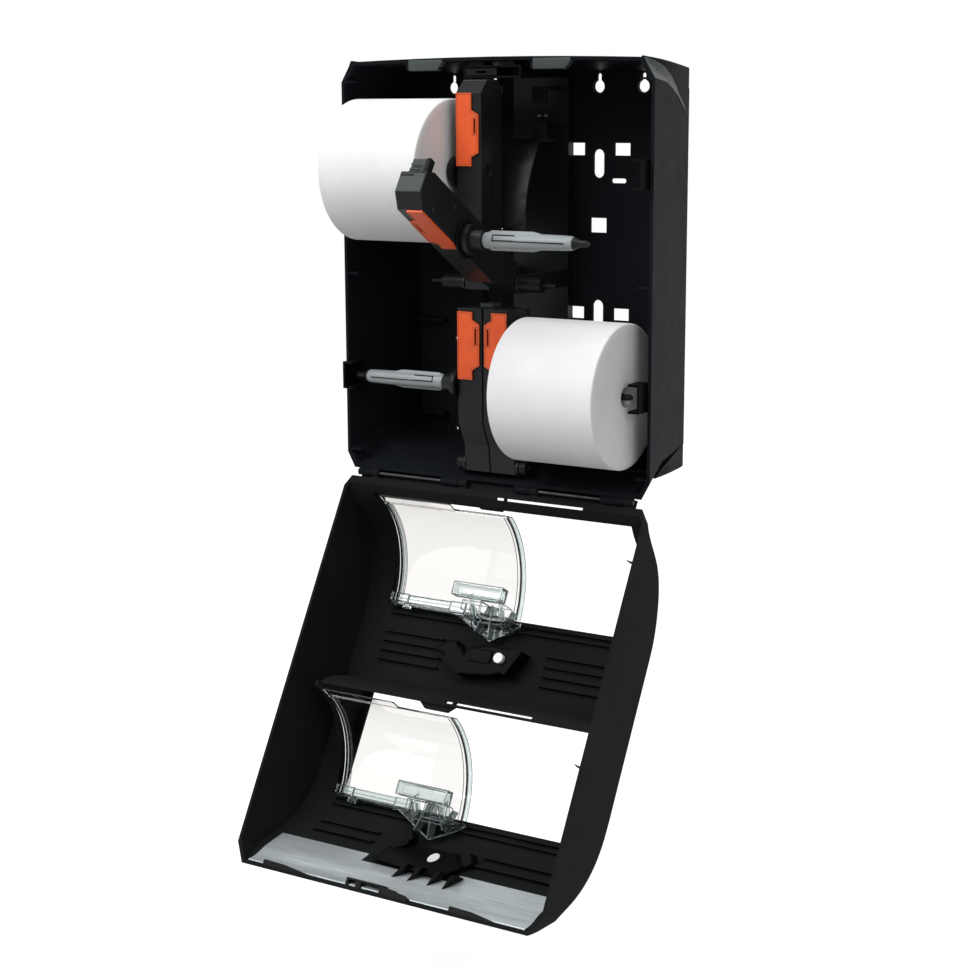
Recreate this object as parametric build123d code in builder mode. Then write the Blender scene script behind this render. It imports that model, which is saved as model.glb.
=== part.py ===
"""Wall dispenser for four toilet rolls, shown with its cover let down and one roll arm swung out.

Millimetres. X runs to the right, Y into the wall, Z up. The origin lies on the wall plane, behind the
middle of the housing. The cover is drawn closed and then let down to its stop, and each arm is drawn
upright in the housing and then swung to where it stands.
"""

import os

from build123d import *

# Rolls and the spindles that carry them
roll_radius = 60.3
roll_width = 97.8
roll_bore_radius = 8.2
roll_edge_radius = 1.5
roll_inner_room = 9.5
roll_side_room = 4.1
spindle_ahead_of_rim = 4.0
upper_spindle_z = 88.0
lower_spindle_z = -91.5
arm_open_angle = 58.0

# Arms
arm_inner_gap = 0.6
arm_width = 24.0
arm_ahead_of_rim = 14.0
arm_behind_rim = 19.0
arm_wall = 2.0
arm_bevel = 10.0
pivot_behind_rim = 4.0
upper_pivot_z = -5.0
lower_pivot_z = -161.5
pivot_radius = 4.0
pivot_fit = 0.05
arm_heel_radius = 12.0
roll_centre_x = arm_inner_gap + arm_width + roll_inner_room + roll_width / 2

# Housing: a tray that narrows towards the wall
housing_depth = 95.0
rim_y = -housing_depth
spindle_y = rim_y - spindle_ahead_of_rim
arm_front_y = rim_y - arm_ahead_of_rim
arm_back_y = rim_y + arm_behind_rim
pivot_y = rim_y + pivot_behind_rim
side_lean = 16.0
waist_depth = 57.0
rim_top = 179.4
back_top = 172.0
rim_bottom = -176.3
waist_bottom = -161.0
back_bottom = -158.0
top_corner_across = 10.4
top_corner_down = 16.9
bottom_corner_across = 7.5
bottom_corner_up = 13.8
top_crown = 2.5
housing_wall = 3.0
overrun = 1.0
back_half_width = roll_centre_x + roll_width / 2 + roll_side_room
rim_half_width = back_half_width + side_lean

# Cover: a curved lid hinged along the foot of the housing rim
cover_gap = 0.5
cover_depth = 80.0
cover_wall = 2.6
cover_lean = 5.0
cover_front_half_width = rim_half_width - cover_lean
cover_open_angle = 150.0
hinge_height = -179.5
hinge_knuckle_radius = 3.2
hinge_pin_radius = 1.5
hinge_running_fit = 0.06
hinge_end_gap = 0.4

os.makedirs("parts", exist_ok=True)

hinge_axis = Axis((0, rim_y, hinge_height), (1, 0, 0))


def save(piece, label):
    """Label a finished piece and write it to its own file."""
    piece.label = label
    export_step(piece, "parts/" + label + ".step")


def save_on_cover(piece, label):
    """Let a piece that was drawn on the closed cover down with the cover, then write it."""
    save(piece.rotate(hinge_axis, cover_open_angle), label)


def tray_section(depth, half_width, top, bottom, inset):
    """One upright cross-section of the housing, at a distance in front of the wall."""
    w = half_width - inset
    t = top - inset
    b = bottom + inset
    with BuildSketch(Plane.XZ.offset(depth)) as section:
        with BuildLine():
            Polyline(
                (-w + top_corner_across, t),
                (-w, t - top_corner_down),
                (-w, b + bottom_corner_up),
                (-w + bottom_corner_across, b),
                (w - bottom_corner_across, b),
                (w, b + bottom_corner_up),
                (w, t - top_corner_down),
                (w - top_corner_across, t),
            )
            ThreePointArc((w - top_corner_across, t), (0, t + top_crown), (-w + top_corner_across, t))
        make_face()
    return section.sketch


# Housing shell
waist_share = waist_depth / housing_depth
waist_half_width = back_half_width + (rim_half_width - back_half_width) * waist_share
waist_top = back_top + (rim_top - back_top) * waist_share

keyhole_inner_x = 52.4
keyhole_edge_distance = 41.0
keyhole_outer_x = back_half_width - keyhole_edge_distance
keyhole_z = 158.0
keyhole_radius = 5.3
keyhole_neck_radius = 2.1
keyhole_rise = 9.0
clip_hole_inner_x = 31.0
clip_hole_outer_x = 75.1
upper_clip_hole_z = 105.2
lower_clip_hole_z = -36.0
clip_hole_width = 15.5
clip_hole_height = 10.5
upper_tall_slot_z = 93.0
lower_tall_slot_z = -36.5
tall_slot_width = 10.5
tall_slot_height = 24.5
flat_slot_x = 71.8
flat_slot_z = 78.6
flat_slot_width = 14.7
flat_slot_height = 4.0
cable_hole_z = 40.3
cable_hole_width = 16.0
cable_hole_height = 12.6
mount_hole_edge_distance = 43.0
mount_hole_x = back_half_width - mount_hole_edge_distance
mount_hole_upper_z = -66.2
mount_hole_lower_z = -149.7
mount_hole_radius = 2.5
mount_boss_radius = 9.5
mount_boss_height = 3.5
upper_panel_rib_z = -50.0
lower_panel_rib_z = -136.0
panel_rib_height = 7.0
panel_rib_thickness = 2.2
panel_rib_reach = 30.0
panel_rib_inner_x = back_half_width - housing_wall - panel_rib_reach
upper_ledge_z = 163.0
middle_ledge_z = -2.5
lower_ledge_z = -160.0
ledge_reach = 11.0
ledge_thickness = 1.6
ledge_depth = 9.0

# Two pads under the top wall at the rim
rim_pad_height = 6.0
rim_pad_depth = 5.0
rim_pad_width = 34.0
left_rim_pad_x = -67.0
right_rim_pad_x = 55.0

# Along the hinge line: housing knuckles as (start, end) on X, with a cover knuckle beside each
outer_knuckle_inset = 13.0
left_knuckle_start = -51.0
left_knuckle_end = -33.0
right_knuckle_start = 23.5
right_knuckle_end = 38.0
right_outer_knuckle_far = 45.0
right_outer_knuckle_near = 23.0
housing_knuckles = [
    (outer_knuckle_inset - rim_half_width, 2 * outer_knuckle_inset - rim_half_width),
    (left_knuckle_start, left_knuckle_end),
    (right_knuckle_start, right_knuckle_end),
    (rim_half_width - right_outer_knuckle_far, rim_half_width - right_outer_knuckle_near),
]
cover_knuckle_width = 8.0

with BuildPart() as housing_shell:
    add(tray_section(0, back_half_width, back_top, back_bottom, 0))
    add(tray_section(waist_depth, waist_half_width, waist_top, waist_bottom, 0))
    add(tray_section(housing_depth, rim_half_width, rim_top, rim_bottom, 0))
    loft(ruled=True)
    add(tray_section(housing_wall, back_half_width, back_top, back_bottom, housing_wall))
    add(tray_section(waist_depth, waist_half_width, waist_top, waist_bottom, housing_wall))
    add(tray_section(housing_depth, rim_half_width, rim_top, rim_bottom, housing_wall))
    loft(ruled=True, mode=Mode.SUBTRACT)
    with BuildSketch(Plane.XZ.offset(housing_wall)):
        with Locations(
            (mount_hole_x, mount_hole_upper_z),
            (mount_hole_x, mount_hole_lower_z),
            (-mount_hole_x, mount_hole_upper_z),
            (-mount_hole_x, mount_hole_lower_z),
        ):
            Circle(mount_boss_radius)
    extrude(amount=mount_boss_height)
    for rib_z in (upper_panel_rib_z, lower_panel_rib_z):
        rib_length = back_half_width - housing_wall - panel_rib_inner_x
        rib_middle = panel_rib_inner_x + rib_length / 2
        with BuildSketch(Plane.XZ.offset(housing_wall)):
            with Locations((rib_middle, rib_z), (-rib_middle, rib_z)):
                Rectangle(rib_length, panel_rib_thickness)
        extrude(amount=panel_rib_height)
    ledge_start = housing_depth - ledge_depth
    ledge_middle = rim_half_width - housing_wall - ledge_reach / 2
    for ledge_z in (upper_ledge_z, middle_ledge_z, lower_ledge_z):
        with BuildSketch(Plane.XZ.offset(ledge_start)):
            with Locations((ledge_middle, ledge_z), (-ledge_middle, ledge_z)):
                Rectangle(ledge_reach, ledge_thickness)
        extrude(amount=ledge_depth)
    pad_middle_z = rim_top - (housing_wall + rim_pad_height) / 2
    with BuildSketch(Plane.XZ.offset(housing_depth - rim_pad_depth)):
        with Locations((left_rim_pad_x, pad_middle_z), (right_rim_pad_x, pad_middle_z)):
            Rectangle(rim_pad_width, rim_pad_height)
    extrude(amount=rim_pad_depth)
    with BuildSketch(Plane.XZ):
        for side in (1, -1):
            for keyhole_x in (keyhole_inner_x, keyhole_outer_x):
                with Locations((side * keyhole_x, keyhole_z)):
                    Circle(keyhole_radius)
                with Locations((side * keyhole_x, keyhole_z + keyhole_rise / 2)):
                    SlotCenterToCenter(keyhole_rise, 2 * keyhole_neck_radius, rotation=90)
            for clip_hole_z in (upper_clip_hole_z, lower_clip_hole_z):
                for clip_hole_x in (clip_hole_inner_x, clip_hole_outer_x):
                    with Locations((side * clip_hole_x, clip_hole_z)):
                        Rectangle(clip_hole_width, clip_hole_height)
            for tall_slot_z in (upper_tall_slot_z, lower_tall_slot_z):
                with Locations((side * keyhole_inner_x, tall_slot_z)):
                    SlotOverall(tall_slot_height, tall_slot_width, rotation=90)
            with Locations((side * flat_slot_x, flat_slot_z)):
                SlotOverall(flat_slot_width, flat_slot_height)
            with Locations((side * keyhole_inner_x, cable_hole_z)):
                Rectangle(cable_hole_width, cable_hole_height)
            with Locations(
                (side * mount_hole_x, mount_hole_upper_z),
                (side * mount_hole_x, mount_hole_lower_z),
            ):
                Circle(mount_hole_radius)
    extrude(amount=housing_wall + mount_boss_height + overrun, mode=Mode.SUBTRACT)
    for knuckle_start, knuckle_end in housing_knuckles:
        with BuildSketch(Plane.YZ.offset(knuckle_start)):
            with Locations((rim_y, hinge_height)):
                Circle(hinge_knuckle_radius)
            with Locations((rim_y + hinge_knuckle_radius / 2, rim_bottom)):
                Rectangle(hinge_knuckle_radius, 2 * (rim_bottom - hinge_height))
        extrude(amount=knuckle_end - knuckle_start)
    with BuildSketch(Plane.YZ.offset(-rim_half_width)):
        with Locations((rim_y, hinge_height)):
            Circle(hinge_pin_radius)
    extrude(amount=2 * rim_half_width, mode=Mode.SUBTRACT)
save(housing_shell.part, "housing_shell")


# Spine: the frame behind the arms that carries both pivot shafts
spine_half_width = 27.6
spine_block_depth = 9.0
spine_top = 166.0
spine_bottom = -152.0
cheek_thickness = 2.4
cheek_clearance = 0.5
pivot_lug_radius = 7.5
lower_lug_rise = 27.0
channel_thickness = 2.2
channel_half_width = 20.0
channel_top_y = -48.0
channel_top_z = 112.0
channel_foot_y = -71.0
channel_foot_z = 40.0
channel_bow = 6.0
bracket_thickness = 2.4
bracket_reach = 26.0
bracket_width = 14.0
bracket_upper_z = 158.0
bracket_lower_z = 128.0

arm_side_x = arm_inner_gap + arm_width
cheek_x = arm_side_x + cheek_clearance
block_front_y = -housing_wall - spine_block_depth

with BuildPart() as spine_frame:
    with BuildSketch(Plane.XZ.offset(housing_wall)):
        with Locations((0, (spine_top + spine_bottom) / 2)):
            Rectangle(2 * spine_half_width, spine_top - spine_bottom)
    extrude(amount=spine_block_depth)
    for side in (1, -1):
        for lug_z, lug_rise in ((upper_pivot_z, 0), (lower_pivot_z, lower_lug_rise)):
            lug_plane = Plane.YZ.offset(cheek_x if side > 0 else -cheek_x - cheek_thickness)
            with BuildSketch(lug_plane):
                with Locations((pivot_y, lug_z)):
                    Circle(pivot_lug_radius)
                with BuildLine():
                    Polyline(
                        (pivot_y, lug_z - pivot_lug_radius),
                        (block_front_y, lug_z + lug_rise - pivot_lug_radius),
                        (block_front_y, lug_z + lug_rise + pivot_lug_radius),
                        (pivot_y, lug_z + pivot_lug_radius),
                        close=True,
                    )
                make_face()
            extrude(amount=cheek_thickness)
            with BuildSketch(lug_plane):
                with Locations((pivot_y, lug_z)):
                    Circle(pivot_radius)
            extrude(amount=cheek_thickness, mode=Mode.SUBTRACT)
    with BuildSketch(Plane.YZ.offset(-channel_half_width)):
        with BuildLine():
            Polyline(
                (block_front_y, channel_top_z + channel_thickness),
                (channel_top_y, channel_top_z + channel_thickness),
            )
            ThreePointArc(
                (channel_top_y, channel_top_z + channel_thickness),
                (
                    (channel_top_y + channel_foot_y) / 2 - channel_bow - channel_thickness,
                    (channel_top_z + channel_foot_z) / 2,
                ),
                (channel_foot_y - channel_thickness, channel_foot_z),
            )
            Line((channel_foot_y - channel_thickness, channel_foot_z), (channel_foot_y, channel_foot_z))
            ThreePointArc(
                (channel_foot_y, channel_foot_z),
                (
                    (channel_top_y + channel_foot_y) / 2 - channel_bow,
                    (channel_top_z + channel_foot_z) / 2,
                ),
                (channel_top_y, channel_top_z),
            )
            Line((channel_top_y, channel_top_z), (block_front_y, channel_top_z))
            Line((block_front_y, channel_top_z), (block_front_y, channel_top_z + channel_thickness))
        make_face()
    extrude(amount=2 * channel_half_width)
    for bracket_z in (bracket_upper_z, bracket_lower_z):
        with BuildSketch(Plane.YZ.offset(channel_half_width - bracket_width)):
            with BuildLine():
                Polyline(
                    (block_front_y, bracket_z),
                    (block_front_y - bracket_reach, bracket_z),
                    (block_front_y - bracket_reach, bracket_z - bracket_width),
                    (block_front_y - bracket_reach + bracket_thickness, bracket_z - bracket_width),
                    (block_front_y - bracket_reach + bracket_thickness, bracket_z - bracket_thickness),
                    (block_front_y, bracket_z - bracket_thickness),
                    close=True,
                )
            make_face()
        extrude(amount=bracket_width)
save(spine_frame.part, "spine_frame")


# Pivot shafts: an axle through both arms, with a sleeve and a thin pin at each side
upper_sleeve_radius = 6.3
upper_sleeve_end = 48.0
upper_pin_radius = 1.6
upper_pin_end = 61.0
lower_sleeve_end = 34.0


def pivot_shaft(pivot_z, sleeve_end, pin_end):
    """A turned axle along X, written as half an outline and spun about its own centre line."""
    sleeve_start = cheek_x + cheek_thickness
    with BuildPart() as shaft:
        with BuildSketch(Plane.XY.offset(pivot_z)):
            with BuildLine():
                Polyline(
                    (-pin_end, pivot_y),
                    (-pin_end, pivot_y + upper_pin_radius),
                    (-sleeve_end, pivot_y + upper_pin_radius),
                    (-sleeve_end, pivot_y + upper_sleeve_radius),
                    (-sleeve_start, pivot_y + upper_sleeve_radius),
                    (-sleeve_start, pivot_y + pivot_radius),
                    (sleeve_start, pivot_y + pivot_radius),
                    (sleeve_start, pivot_y + upper_sleeve_radius),
                    (sleeve_end, pivot_y + upper_sleeve_radius),
                    (sleeve_end, pivot_y + upper_pin_radius),
                    (pin_end, pivot_y + upper_pin_radius),
                    (pin_end, pivot_y),
                    close=True,
                )
            make_face()
        revolve(axis=Axis((0, pivot_y, pivot_z), (1, 0, 0)))
    return shaft.part


save(pivot_shaft(upper_pivot_z, upper_sleeve_end, upper_pin_end), "upper_pivot_shaft")
save(pivot_shaft(lower_pivot_z, lower_sleeve_end, lower_sleeve_end + cheek_thickness), "lower_pivot_shaft")


# Tip brackets: open channels on the side walls that the spindle tips swing into
bracket_half_height = 12.0
bracket_span = 10.5
bracket_ahead_of_spindle = 8.0
bracket_behind_spindle = 12.0
bracket_front_y = spindle_y - bracket_ahead_of_spindle
bracket_back_y = spindle_y + bracket_behind_spindle
bracket_wall = 2.0
seat_gap = 0.3
wall_at_bracket = back_half_width - (rim_half_width - back_half_width) * bracket_back_y / housing_depth
bracket_outer_x = wall_at_bracket - housing_wall - seat_gap
bracket_inner_x = bracket_outer_x - bracket_span

for side, side_name in ((-1, "left"), (1, "right")):
    for spindle_z, level in ((upper_spindle_z, "upper"), (lower_spindle_z, "lower")):
        bracket_depth = bracket_back_y - bracket_front_y
        with BuildPart() as tip_bracket:
            with BuildSketch(Plane.XZ.offset(-bracket_back_y)):
                with Locations((side * (bracket_inner_x + bracket_outer_x) / 2, spindle_z)):
                    Rectangle(bracket_outer_x - bracket_inner_x, 2 * bracket_half_height)
            extrude(amount=bracket_depth)
            channel_width = bracket_outer_x - bracket_inner_x - bracket_wall
            with BuildSketch(Plane.XZ.offset(-bracket_back_y + bracket_wall)):
                with Locations((side * (bracket_inner_x + channel_width / 2), spindle_z)):
                    Rectangle(channel_width, 2 * (bracket_half_height - bracket_wall))
            extrude(amount=bracket_depth, mode=Mode.SUBTRACT)
        save(tip_bracket.part, level + "_" + side_name + "_tip_bracket")


# Lock: a case under the top wall with a sliding bolt inside
lock_half_width = 28.0
lock_top = rim_top - 1.5 * housing_wall
lock_height = 10.5
lock_depth = 16.0
lock_wall = 1.8
lock_set_back = 2.0
lock_front_y = rim_y + lock_set_back
bolt_width = 30.0
bolt_height = 5.5
bolt_depth = 4.0
bolt_clearance = 0.5
lock_foot_inner_x = 8.0
lock_foot_outer_x = 22.0
crown_share_at_lock = 0.95
lock_back_y = lock_front_y + lock_depth
lock_middle_z = lock_top - lock_height / 2
lock_seat_slope = (back_top - rim_top) / housing_depth
lock_seat_z = back_top - housing_wall + crown_share_at_lock * top_crown - seat_gap

with BuildPart() as lock_case:
    with BuildSketch(Plane.XZ.offset(-lock_front_y - lock_depth)):
        with Locations((0, lock_middle_z)):
            Rectangle(2 * lock_half_width, lock_height)
    extrude(amount=lock_depth)
    with BuildSketch(Plane.XZ.offset(-lock_front_y - lock_depth + lock_wall)):
        with Locations((0, lock_middle_z)):
            Rectangle(2 * (lock_half_width - lock_wall), lock_height - 2 * lock_wall)
    extrude(amount=lock_depth, mode=Mode.SUBTRACT)
    for foot_start in (lock_foot_inner_x, -lock_foot_outer_x):
        with BuildSketch(Plane.YZ.offset(foot_start)):
            with BuildLine():
                Polyline(
                    (lock_front_y, lock_top - lock_wall / 2),
                    (lock_back_y, lock_top - lock_wall / 2),
                    (lock_back_y, lock_seat_z + lock_seat_slope * lock_back_y),
                    (lock_front_y, lock_seat_z + lock_seat_slope * lock_front_y),
                    close=True,
                )
            make_face()
        extrude(amount=lock_foot_outer_x - lock_foot_inner_x)
save(lock_case.part, "lock_case")

bolt_start = -lock_half_width + lock_wall + bolt_clearance
with BuildPart() as lock_bolt:
    with BuildSketch(Plane.XZ.offset(-lock_front_y - bolt_depth - bolt_clearance)):
        with Locations((bolt_start + bolt_width / 2, lock_middle_z)):
            Rectangle(bolt_width, bolt_height)
            Rectangle(bolt_width / 3, bolt_height / 3, mode=Mode.SUBTRACT)
    extrude(amount=bolt_depth)
save(lock_bolt.part, "lock_bolt")


# Cover shell, drawn closed. In its side profile s is the height above the hinge and d the distance
# in front of the rim plane.
module_pitch = upper_spindle_z - lower_spindle_z
cover_height = rim_top - hinge_height
lip_s = 14.0
lip_d = 6.0
belly_s = 40.5
belly_d = 50.3
shoulder_s = 88.0
shoulder_drop = 2.6
front_s = 112.0
crest_s = 246.0
brow_s = 284.0
brow_drop = 5.0
bend_s = 318.0
bend_d = 52.5
crown_s = 346.0
crown_d = 18.0
cover_foot_s = 4.4

# Two openings, one for each pair of rolls, a pitch apart up the cover
left_window_margin = 35.0
left_window_reach = cover_front_half_width - left_window_margin
right_window_margin = 10.0
right_window_reach = cover_front_half_width - right_window_margin
window_foot_s = 17.0
window_head_s = 97.0
window_inner_d = 7.0
window_shelf_inner_d = 45.0
cheek_plate_gap = 6.6
cheek_plate_x = left_window_reach + cheek_plate_gap
cheek_plate_thickness = 1.6
shelf_root_s = 152.0
shelf_cut_s = 157.0
shelf_knee_s = 169.0
shelf_knee_inset = 10.0
shelf_knee_d = cover_depth - shelf_knee_inset
shelf_waist_s = 180.0
shelf_waist_share = 0.5
shelf_waist_d = cover_depth * shelf_waist_share
shelf_neck_s = 187.0
shelf_neck_d = 16.0
shelf_wall = 2.4
slot_width = 2.6
slot_s = 10.0
slot_eye_start_x = 7.0
slot_eye_end_x = 15.0
slot_start_x = 17.0
slot_end_margin = 20.0
slot_end_x = left_window_reach - slot_end_margin
tongue_half_width = 22.0
tongue_tip_half_width = 11.0
tongue_root_s = 9.0
tongue_end_s = 18.5
tongue_d = 8.0
tongue_thickness = 4.0

rail_height = 4.0
rail_thickness = 1.6
rail_end_gap = 2.6
left_rail_reach = cheek_plate_x - rail_end_gap
right_rail_reach = right_window_reach + rail_end_gap
rail_break_half_width = 52.0
first_rail_s = 101.0
long_rail_pitch = 5.5
first_broken_rail_s = 124.0
broken_rail_pitch = 8.8

# Doors: clear curtains that run round the front of a roll
door_centre_ahead_s = 11.5
door_centre_back_d = 12.5
door_radius = 79.0
door_thickness = 1.6
door_clearance = 0.5
door_side_gap = 0.6
door_left_x = door_side_gap - left_window_reach
door_right_x = 17.0
door_foot_d = 10.0
door_head_s = 98.0


def on_side(s, d):
    """A point of the closed cover's side profile, as Y and Z."""
    return (rim_y - cover_gap - d, hinge_height + s)


# Directions square to the profile, into the cover, as shares of a wall thickness
lip_inward_share = (0.86, -0.5)
belly_inward_share = (0.78, -0.62)
shoulder_inward_share = (0.3, -0.95)
brow_inward_share = (-0.24, -0.97)
bend_inward_share = (-0.75, -0.66)
crown_inward_share = (-0.93, -0.37)


def inward(s, d, inset, share):
    """A profile point moved into the cover by a wall thickness."""
    return on_side(s + inset * share[0], d + inset * share[1])


def cover_profile(inset):
    """The closed cover's outline from the side, drawn in by a wall thickness."""
    rim_d = -overrun if inset else 0
    foot = on_side(cover_foot_s + 2 * inset, rim_d)
    lip = inward(lip_s, lip_d, inset, lip_inward_share)
    face_foot = on_side(front_s, cover_depth - inset)
    face_head = on_side(crest_s, cover_depth - inset)
    head = on_side(cover_height - 1.1 * inset, 0)
    with BuildSketch(Plane.YZ.offset(-rim_half_width)) as outline:
        with BuildLine():
            Line(foot, lip)
            Spline(
                lip,
                inward(belly_s, belly_d, inset, belly_inward_share),
                inward(shoulder_s, cover_depth - shoulder_drop, inset, shoulder_inward_share),
                face_foot,
                tangents=[(-1, 1), (0, 1)],
            )
            Line(face_foot, face_head)
            Spline(
                face_head,
                inward(brow_s, cover_depth - brow_drop, inset, brow_inward_share),
                inward(bend_s, bend_d, inset, bend_inward_share),
                inward(crown_s, crown_d, inset, crown_inward_share),
                head,
                tangents=[(0, 1), (1, 0.4)],
            )
            if inset:
                Line(head, on_side(cover_height - 1.1 * inset, rim_d))
            Line(on_side(cover_height - 1.1 * inset, rim_d), foot)
        make_face()
    return outline.sketch


cover_foot_z = rim_bottom - cover_wall
cover_face_depth = housing_depth + cover_gap + cover_depth + overrun


def cover_front(inset):
    """A block with the cover's outline from the front, a little narrower at its face than at the rim."""
    with BuildPart() as block:
        add(tray_section(housing_depth - inset, rim_half_width, rim_top, cover_foot_z, inset))
        add(tray_section(cover_face_depth, cover_front_half_width, rim_top, cover_foot_z, inset))
        loft(ruled=True)
    return block.part


cover_outer_front = cover_front(0)
cover_inner_front = cover_front(cover_wall)

with BuildPart() as cover_block:
    add(cover_profile(0))
    extrude(amount=2 * rim_half_width, dir=(1, 0, 0))
    add(cover_outer_front, mode=Mode.INTERSECT)

with BuildPart() as cover_space:
    add(cover_profile(cover_wall))
    extrude(amount=2 * rim_half_width, dir=(1, 0, 0))
    add(cover_inner_front, mode=Mode.INTERSECT)


def cover_body(inset):
    """The space inside the cover at a wall thickness, right across and open at the rim."""
    with BuildPart() as body:
        add(cover_profile(inset))
        extrude(amount=2 * rim_half_width, dir=(1, 0, 0))
    return body.part


def cover_layer(outer_inset, inner_inset):
    """A layer of the cover's inner side, between two distances from its outer face."""
    outer = cover_body(outer_inset)
    inner = cover_body(inner_inset)
    with BuildPart() as layer:
        add(outer)
        add(inner, mode=Mode.SUBTRACT)
    return layer.part


def cover_box(x_start, x_end, s_start, s_end, d_start, d_end):
    """A block in the closed cover's own directions."""
    with BuildPart() as box:
        with BuildSketch(Plane.YZ.offset(x_start)):
            with BuildLine():
                Polyline(
                    on_side(s_start, d_start),
                    on_side(s_end, d_start),
                    on_side(s_end, d_end),
                    on_side(s_start, d_end),
                    close=True,
                )
            make_face()
        extrude(amount=x_end - x_start)
    return box.part


def cover_rod(x_start, x_end, s, d, radius):
    """A round bar along X on the closed cover."""
    with BuildPart() as rod:
        with BuildSketch(Plane.YZ.offset(x_start)):
            with Locations(on_side(s, d)):
                Circle(radius)
        extrude(amount=x_end - x_start)
    return rod.part


def shelf_line(inset):
    """The ledge under the upper opening, from the cover's face in to its lip."""
    return [
        on_side(shelf_root_s + inset, cover_depth - inset),
        on_side(shelf_knee_s - inset, shelf_knee_d - inset),
        on_side(shelf_waist_s - inset, shelf_waist_d),
        on_side(shelf_neck_s - inset, shelf_neck_d),
        on_side(module_pitch + lip_s - inset, lip_d),
    ]


rolls_d = rim_y - cover_gap - spindle_y
lower_roll_s = lower_spindle_z - hinge_height
door_centre_s = lower_roll_s + door_centre_ahead_s
door_centre_d = rolls_d - door_centre_back_d
lip_end_s = module_pitch + lip_s

with BuildPart() as shelf:
    with BuildSketch(Plane.YZ.offset(-cheek_plate_x)):
        with BuildLine():
            Spline(*shelf_line(0))
            Line(on_side(lip_end_s, lip_d), on_side(lip_end_s - shelf_wall, lip_d))
            Spline(*reversed(shelf_line(shelf_wall)))
            Line(
                on_side(shelf_root_s + shelf_wall, cover_depth - shelf_wall),
                on_side(shelf_root_s, cover_depth),
            )
        make_face()
    extrude(amount=cheek_plate_x + rim_half_width)
    add(cover_block.part, mode=Mode.INTERSECT)

with BuildPart() as shelf_underside:
    with BuildSketch(Plane.YZ.offset(-rim_half_width)):
        with BuildLine():
            Spline(*shelf_line(shelf_wall / 2))
            Polyline(
                on_side(lip_end_s - shelf_wall / 2, lip_d),
                on_side(lip_end_s - shelf_wall / 2, -overrun),
                on_side(shelf_root_s - lip_s, -overrun),
                on_side(shelf_root_s - lip_s, cover_depth - shelf_wall / 2),
                on_side(shelf_root_s + shelf_wall / 2, cover_depth - shelf_wall / 2),
            )
        make_face()
    extrude(amount=2 * rim_half_width)

lower_roll_space = cover_rod(
    -rim_half_width,
    rim_half_width,
    door_centre_s,
    door_centre_d,
    door_radius + door_thickness + door_clearance,
)
upper_roll_space = cover_rod(
    -rim_half_width,
    rim_half_width,
    door_centre_s + module_pitch,
    door_centre_d,
    door_radius + door_thickness + door_clearance,
)

rail_layer = cover_layer(cover_wall / 2, cover_wall + rail_height)
rail_parts = []
for module_s, broken_rail_count in ((0, 4), (module_pitch, 2)):
    for rail_s in (first_rail_s, first_rail_s + long_rail_pitch):
        middle_s = module_s + rail_s
        rail_parts.append((-left_rail_reach, right_rail_reach, middle_s))
    for rail_number in range(broken_rail_count):
        middle_s = module_s + first_broken_rail_s + rail_number * broken_rail_pitch
        rail_parts.append((-left_rail_reach, -rail_break_half_width, middle_s))
        rail_parts.append((rail_break_half_width, right_rail_reach, middle_s))
rail_boxes = [
    cover_box(start, end, s - rail_thickness / 2, s + rail_thickness / 2, lip_d, cover_depth + overrun)
    for start, end, s in rail_parts
]

cheek_outer_x = -cheek_plate_x - cheek_plate_thickness
cheek_boxes = [
    cover_box(cheek_outer_x, -cheek_plate_x, foot_s, head_s, 0, cover_depth)
    for foot_s, head_s in ((window_foot_s, window_head_s), (shelf_root_s, module_pitch + window_head_s))
]

with BuildPart() as cheeks:
    for cheek_box in cheek_boxes:
        add(cheek_box)
    add(cover_block.part, mode=Mode.INTERSECT)
    add(lower_roll_space, mode=Mode.SUBTRACT)
    add(upper_roll_space, mode=Mode.SUBTRACT)
    add(shelf_underside.part, mode=Mode.SUBTRACT)

with BuildPart() as rails:
    for rail_box in rail_boxes:
        add(rail_box)
    add(rail_layer, mode=Mode.INTERSECT)

window_cuts = [
    cover_box(
        -left_window_reach,
        right_window_reach,
        window_foot_s,
        window_head_s,
        window_inner_d,
        cover_depth + overrun,
    ),
    cover_box(
        -left_window_reach,
        right_window_reach,
        shelf_cut_s,
        module_pitch + window_head_s,
        window_shelf_inner_d,
        cover_depth + overrun,
    ),
]
slot_cuts = []
for slot_middle_s in (slot_s, module_pitch + slot_s):
    for slot_start, slot_end in ((slot_eye_start_x, slot_eye_end_x), (slot_start_x, slot_end_x)):
        slot_cuts.append(
            cover_box(
                slot_start,
                slot_end,
                slot_middle_s - slot_width / 2,
                slot_middle_s + slot_width / 2,
                -overrun,
                shelf_neck_d,
            )
        )

knuckle_boxes = []
for knuckle_start, knuckle_end in housing_knuckles:
    start = knuckle_end + hinge_end_gap
    knuckle_boxes.append(cover_rod(start, start + cover_knuckle_width, 0, -cover_gap, hinge_knuckle_radius))
    knuckle_boxes.append(
        cover_box(start, start + cover_knuckle_width, 0, lip_s / 2, 0, hinge_knuckle_radius - cover_gap)
    )
pin_hole = cover_rod(
    -rim_half_width, rim_half_width, 0, -cover_gap, hinge_pin_radius + hinge_running_fit
)

with BuildPart() as tongues:
    for module_s in (0, module_pitch):
        with BuildSketch(Plane.XZ.offset(housing_depth + cover_gap + tongue_d)):
            with BuildLine():
                Polyline(
                    (-tongue_half_width, hinge_height + module_s + tongue_root_s),
                    (tongue_half_width, hinge_height + module_s + tongue_root_s),
                    (tongue_tip_half_width, hinge_height + module_s + tongue_end_s),
                    (-tongue_tip_half_width, hinge_height + module_s + tongue_end_s),
                    close=True,
                )
            make_face()
        extrude(amount=tongue_thickness)
    add(cover_block.part, mode=Mode.INTERSECT)

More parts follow.
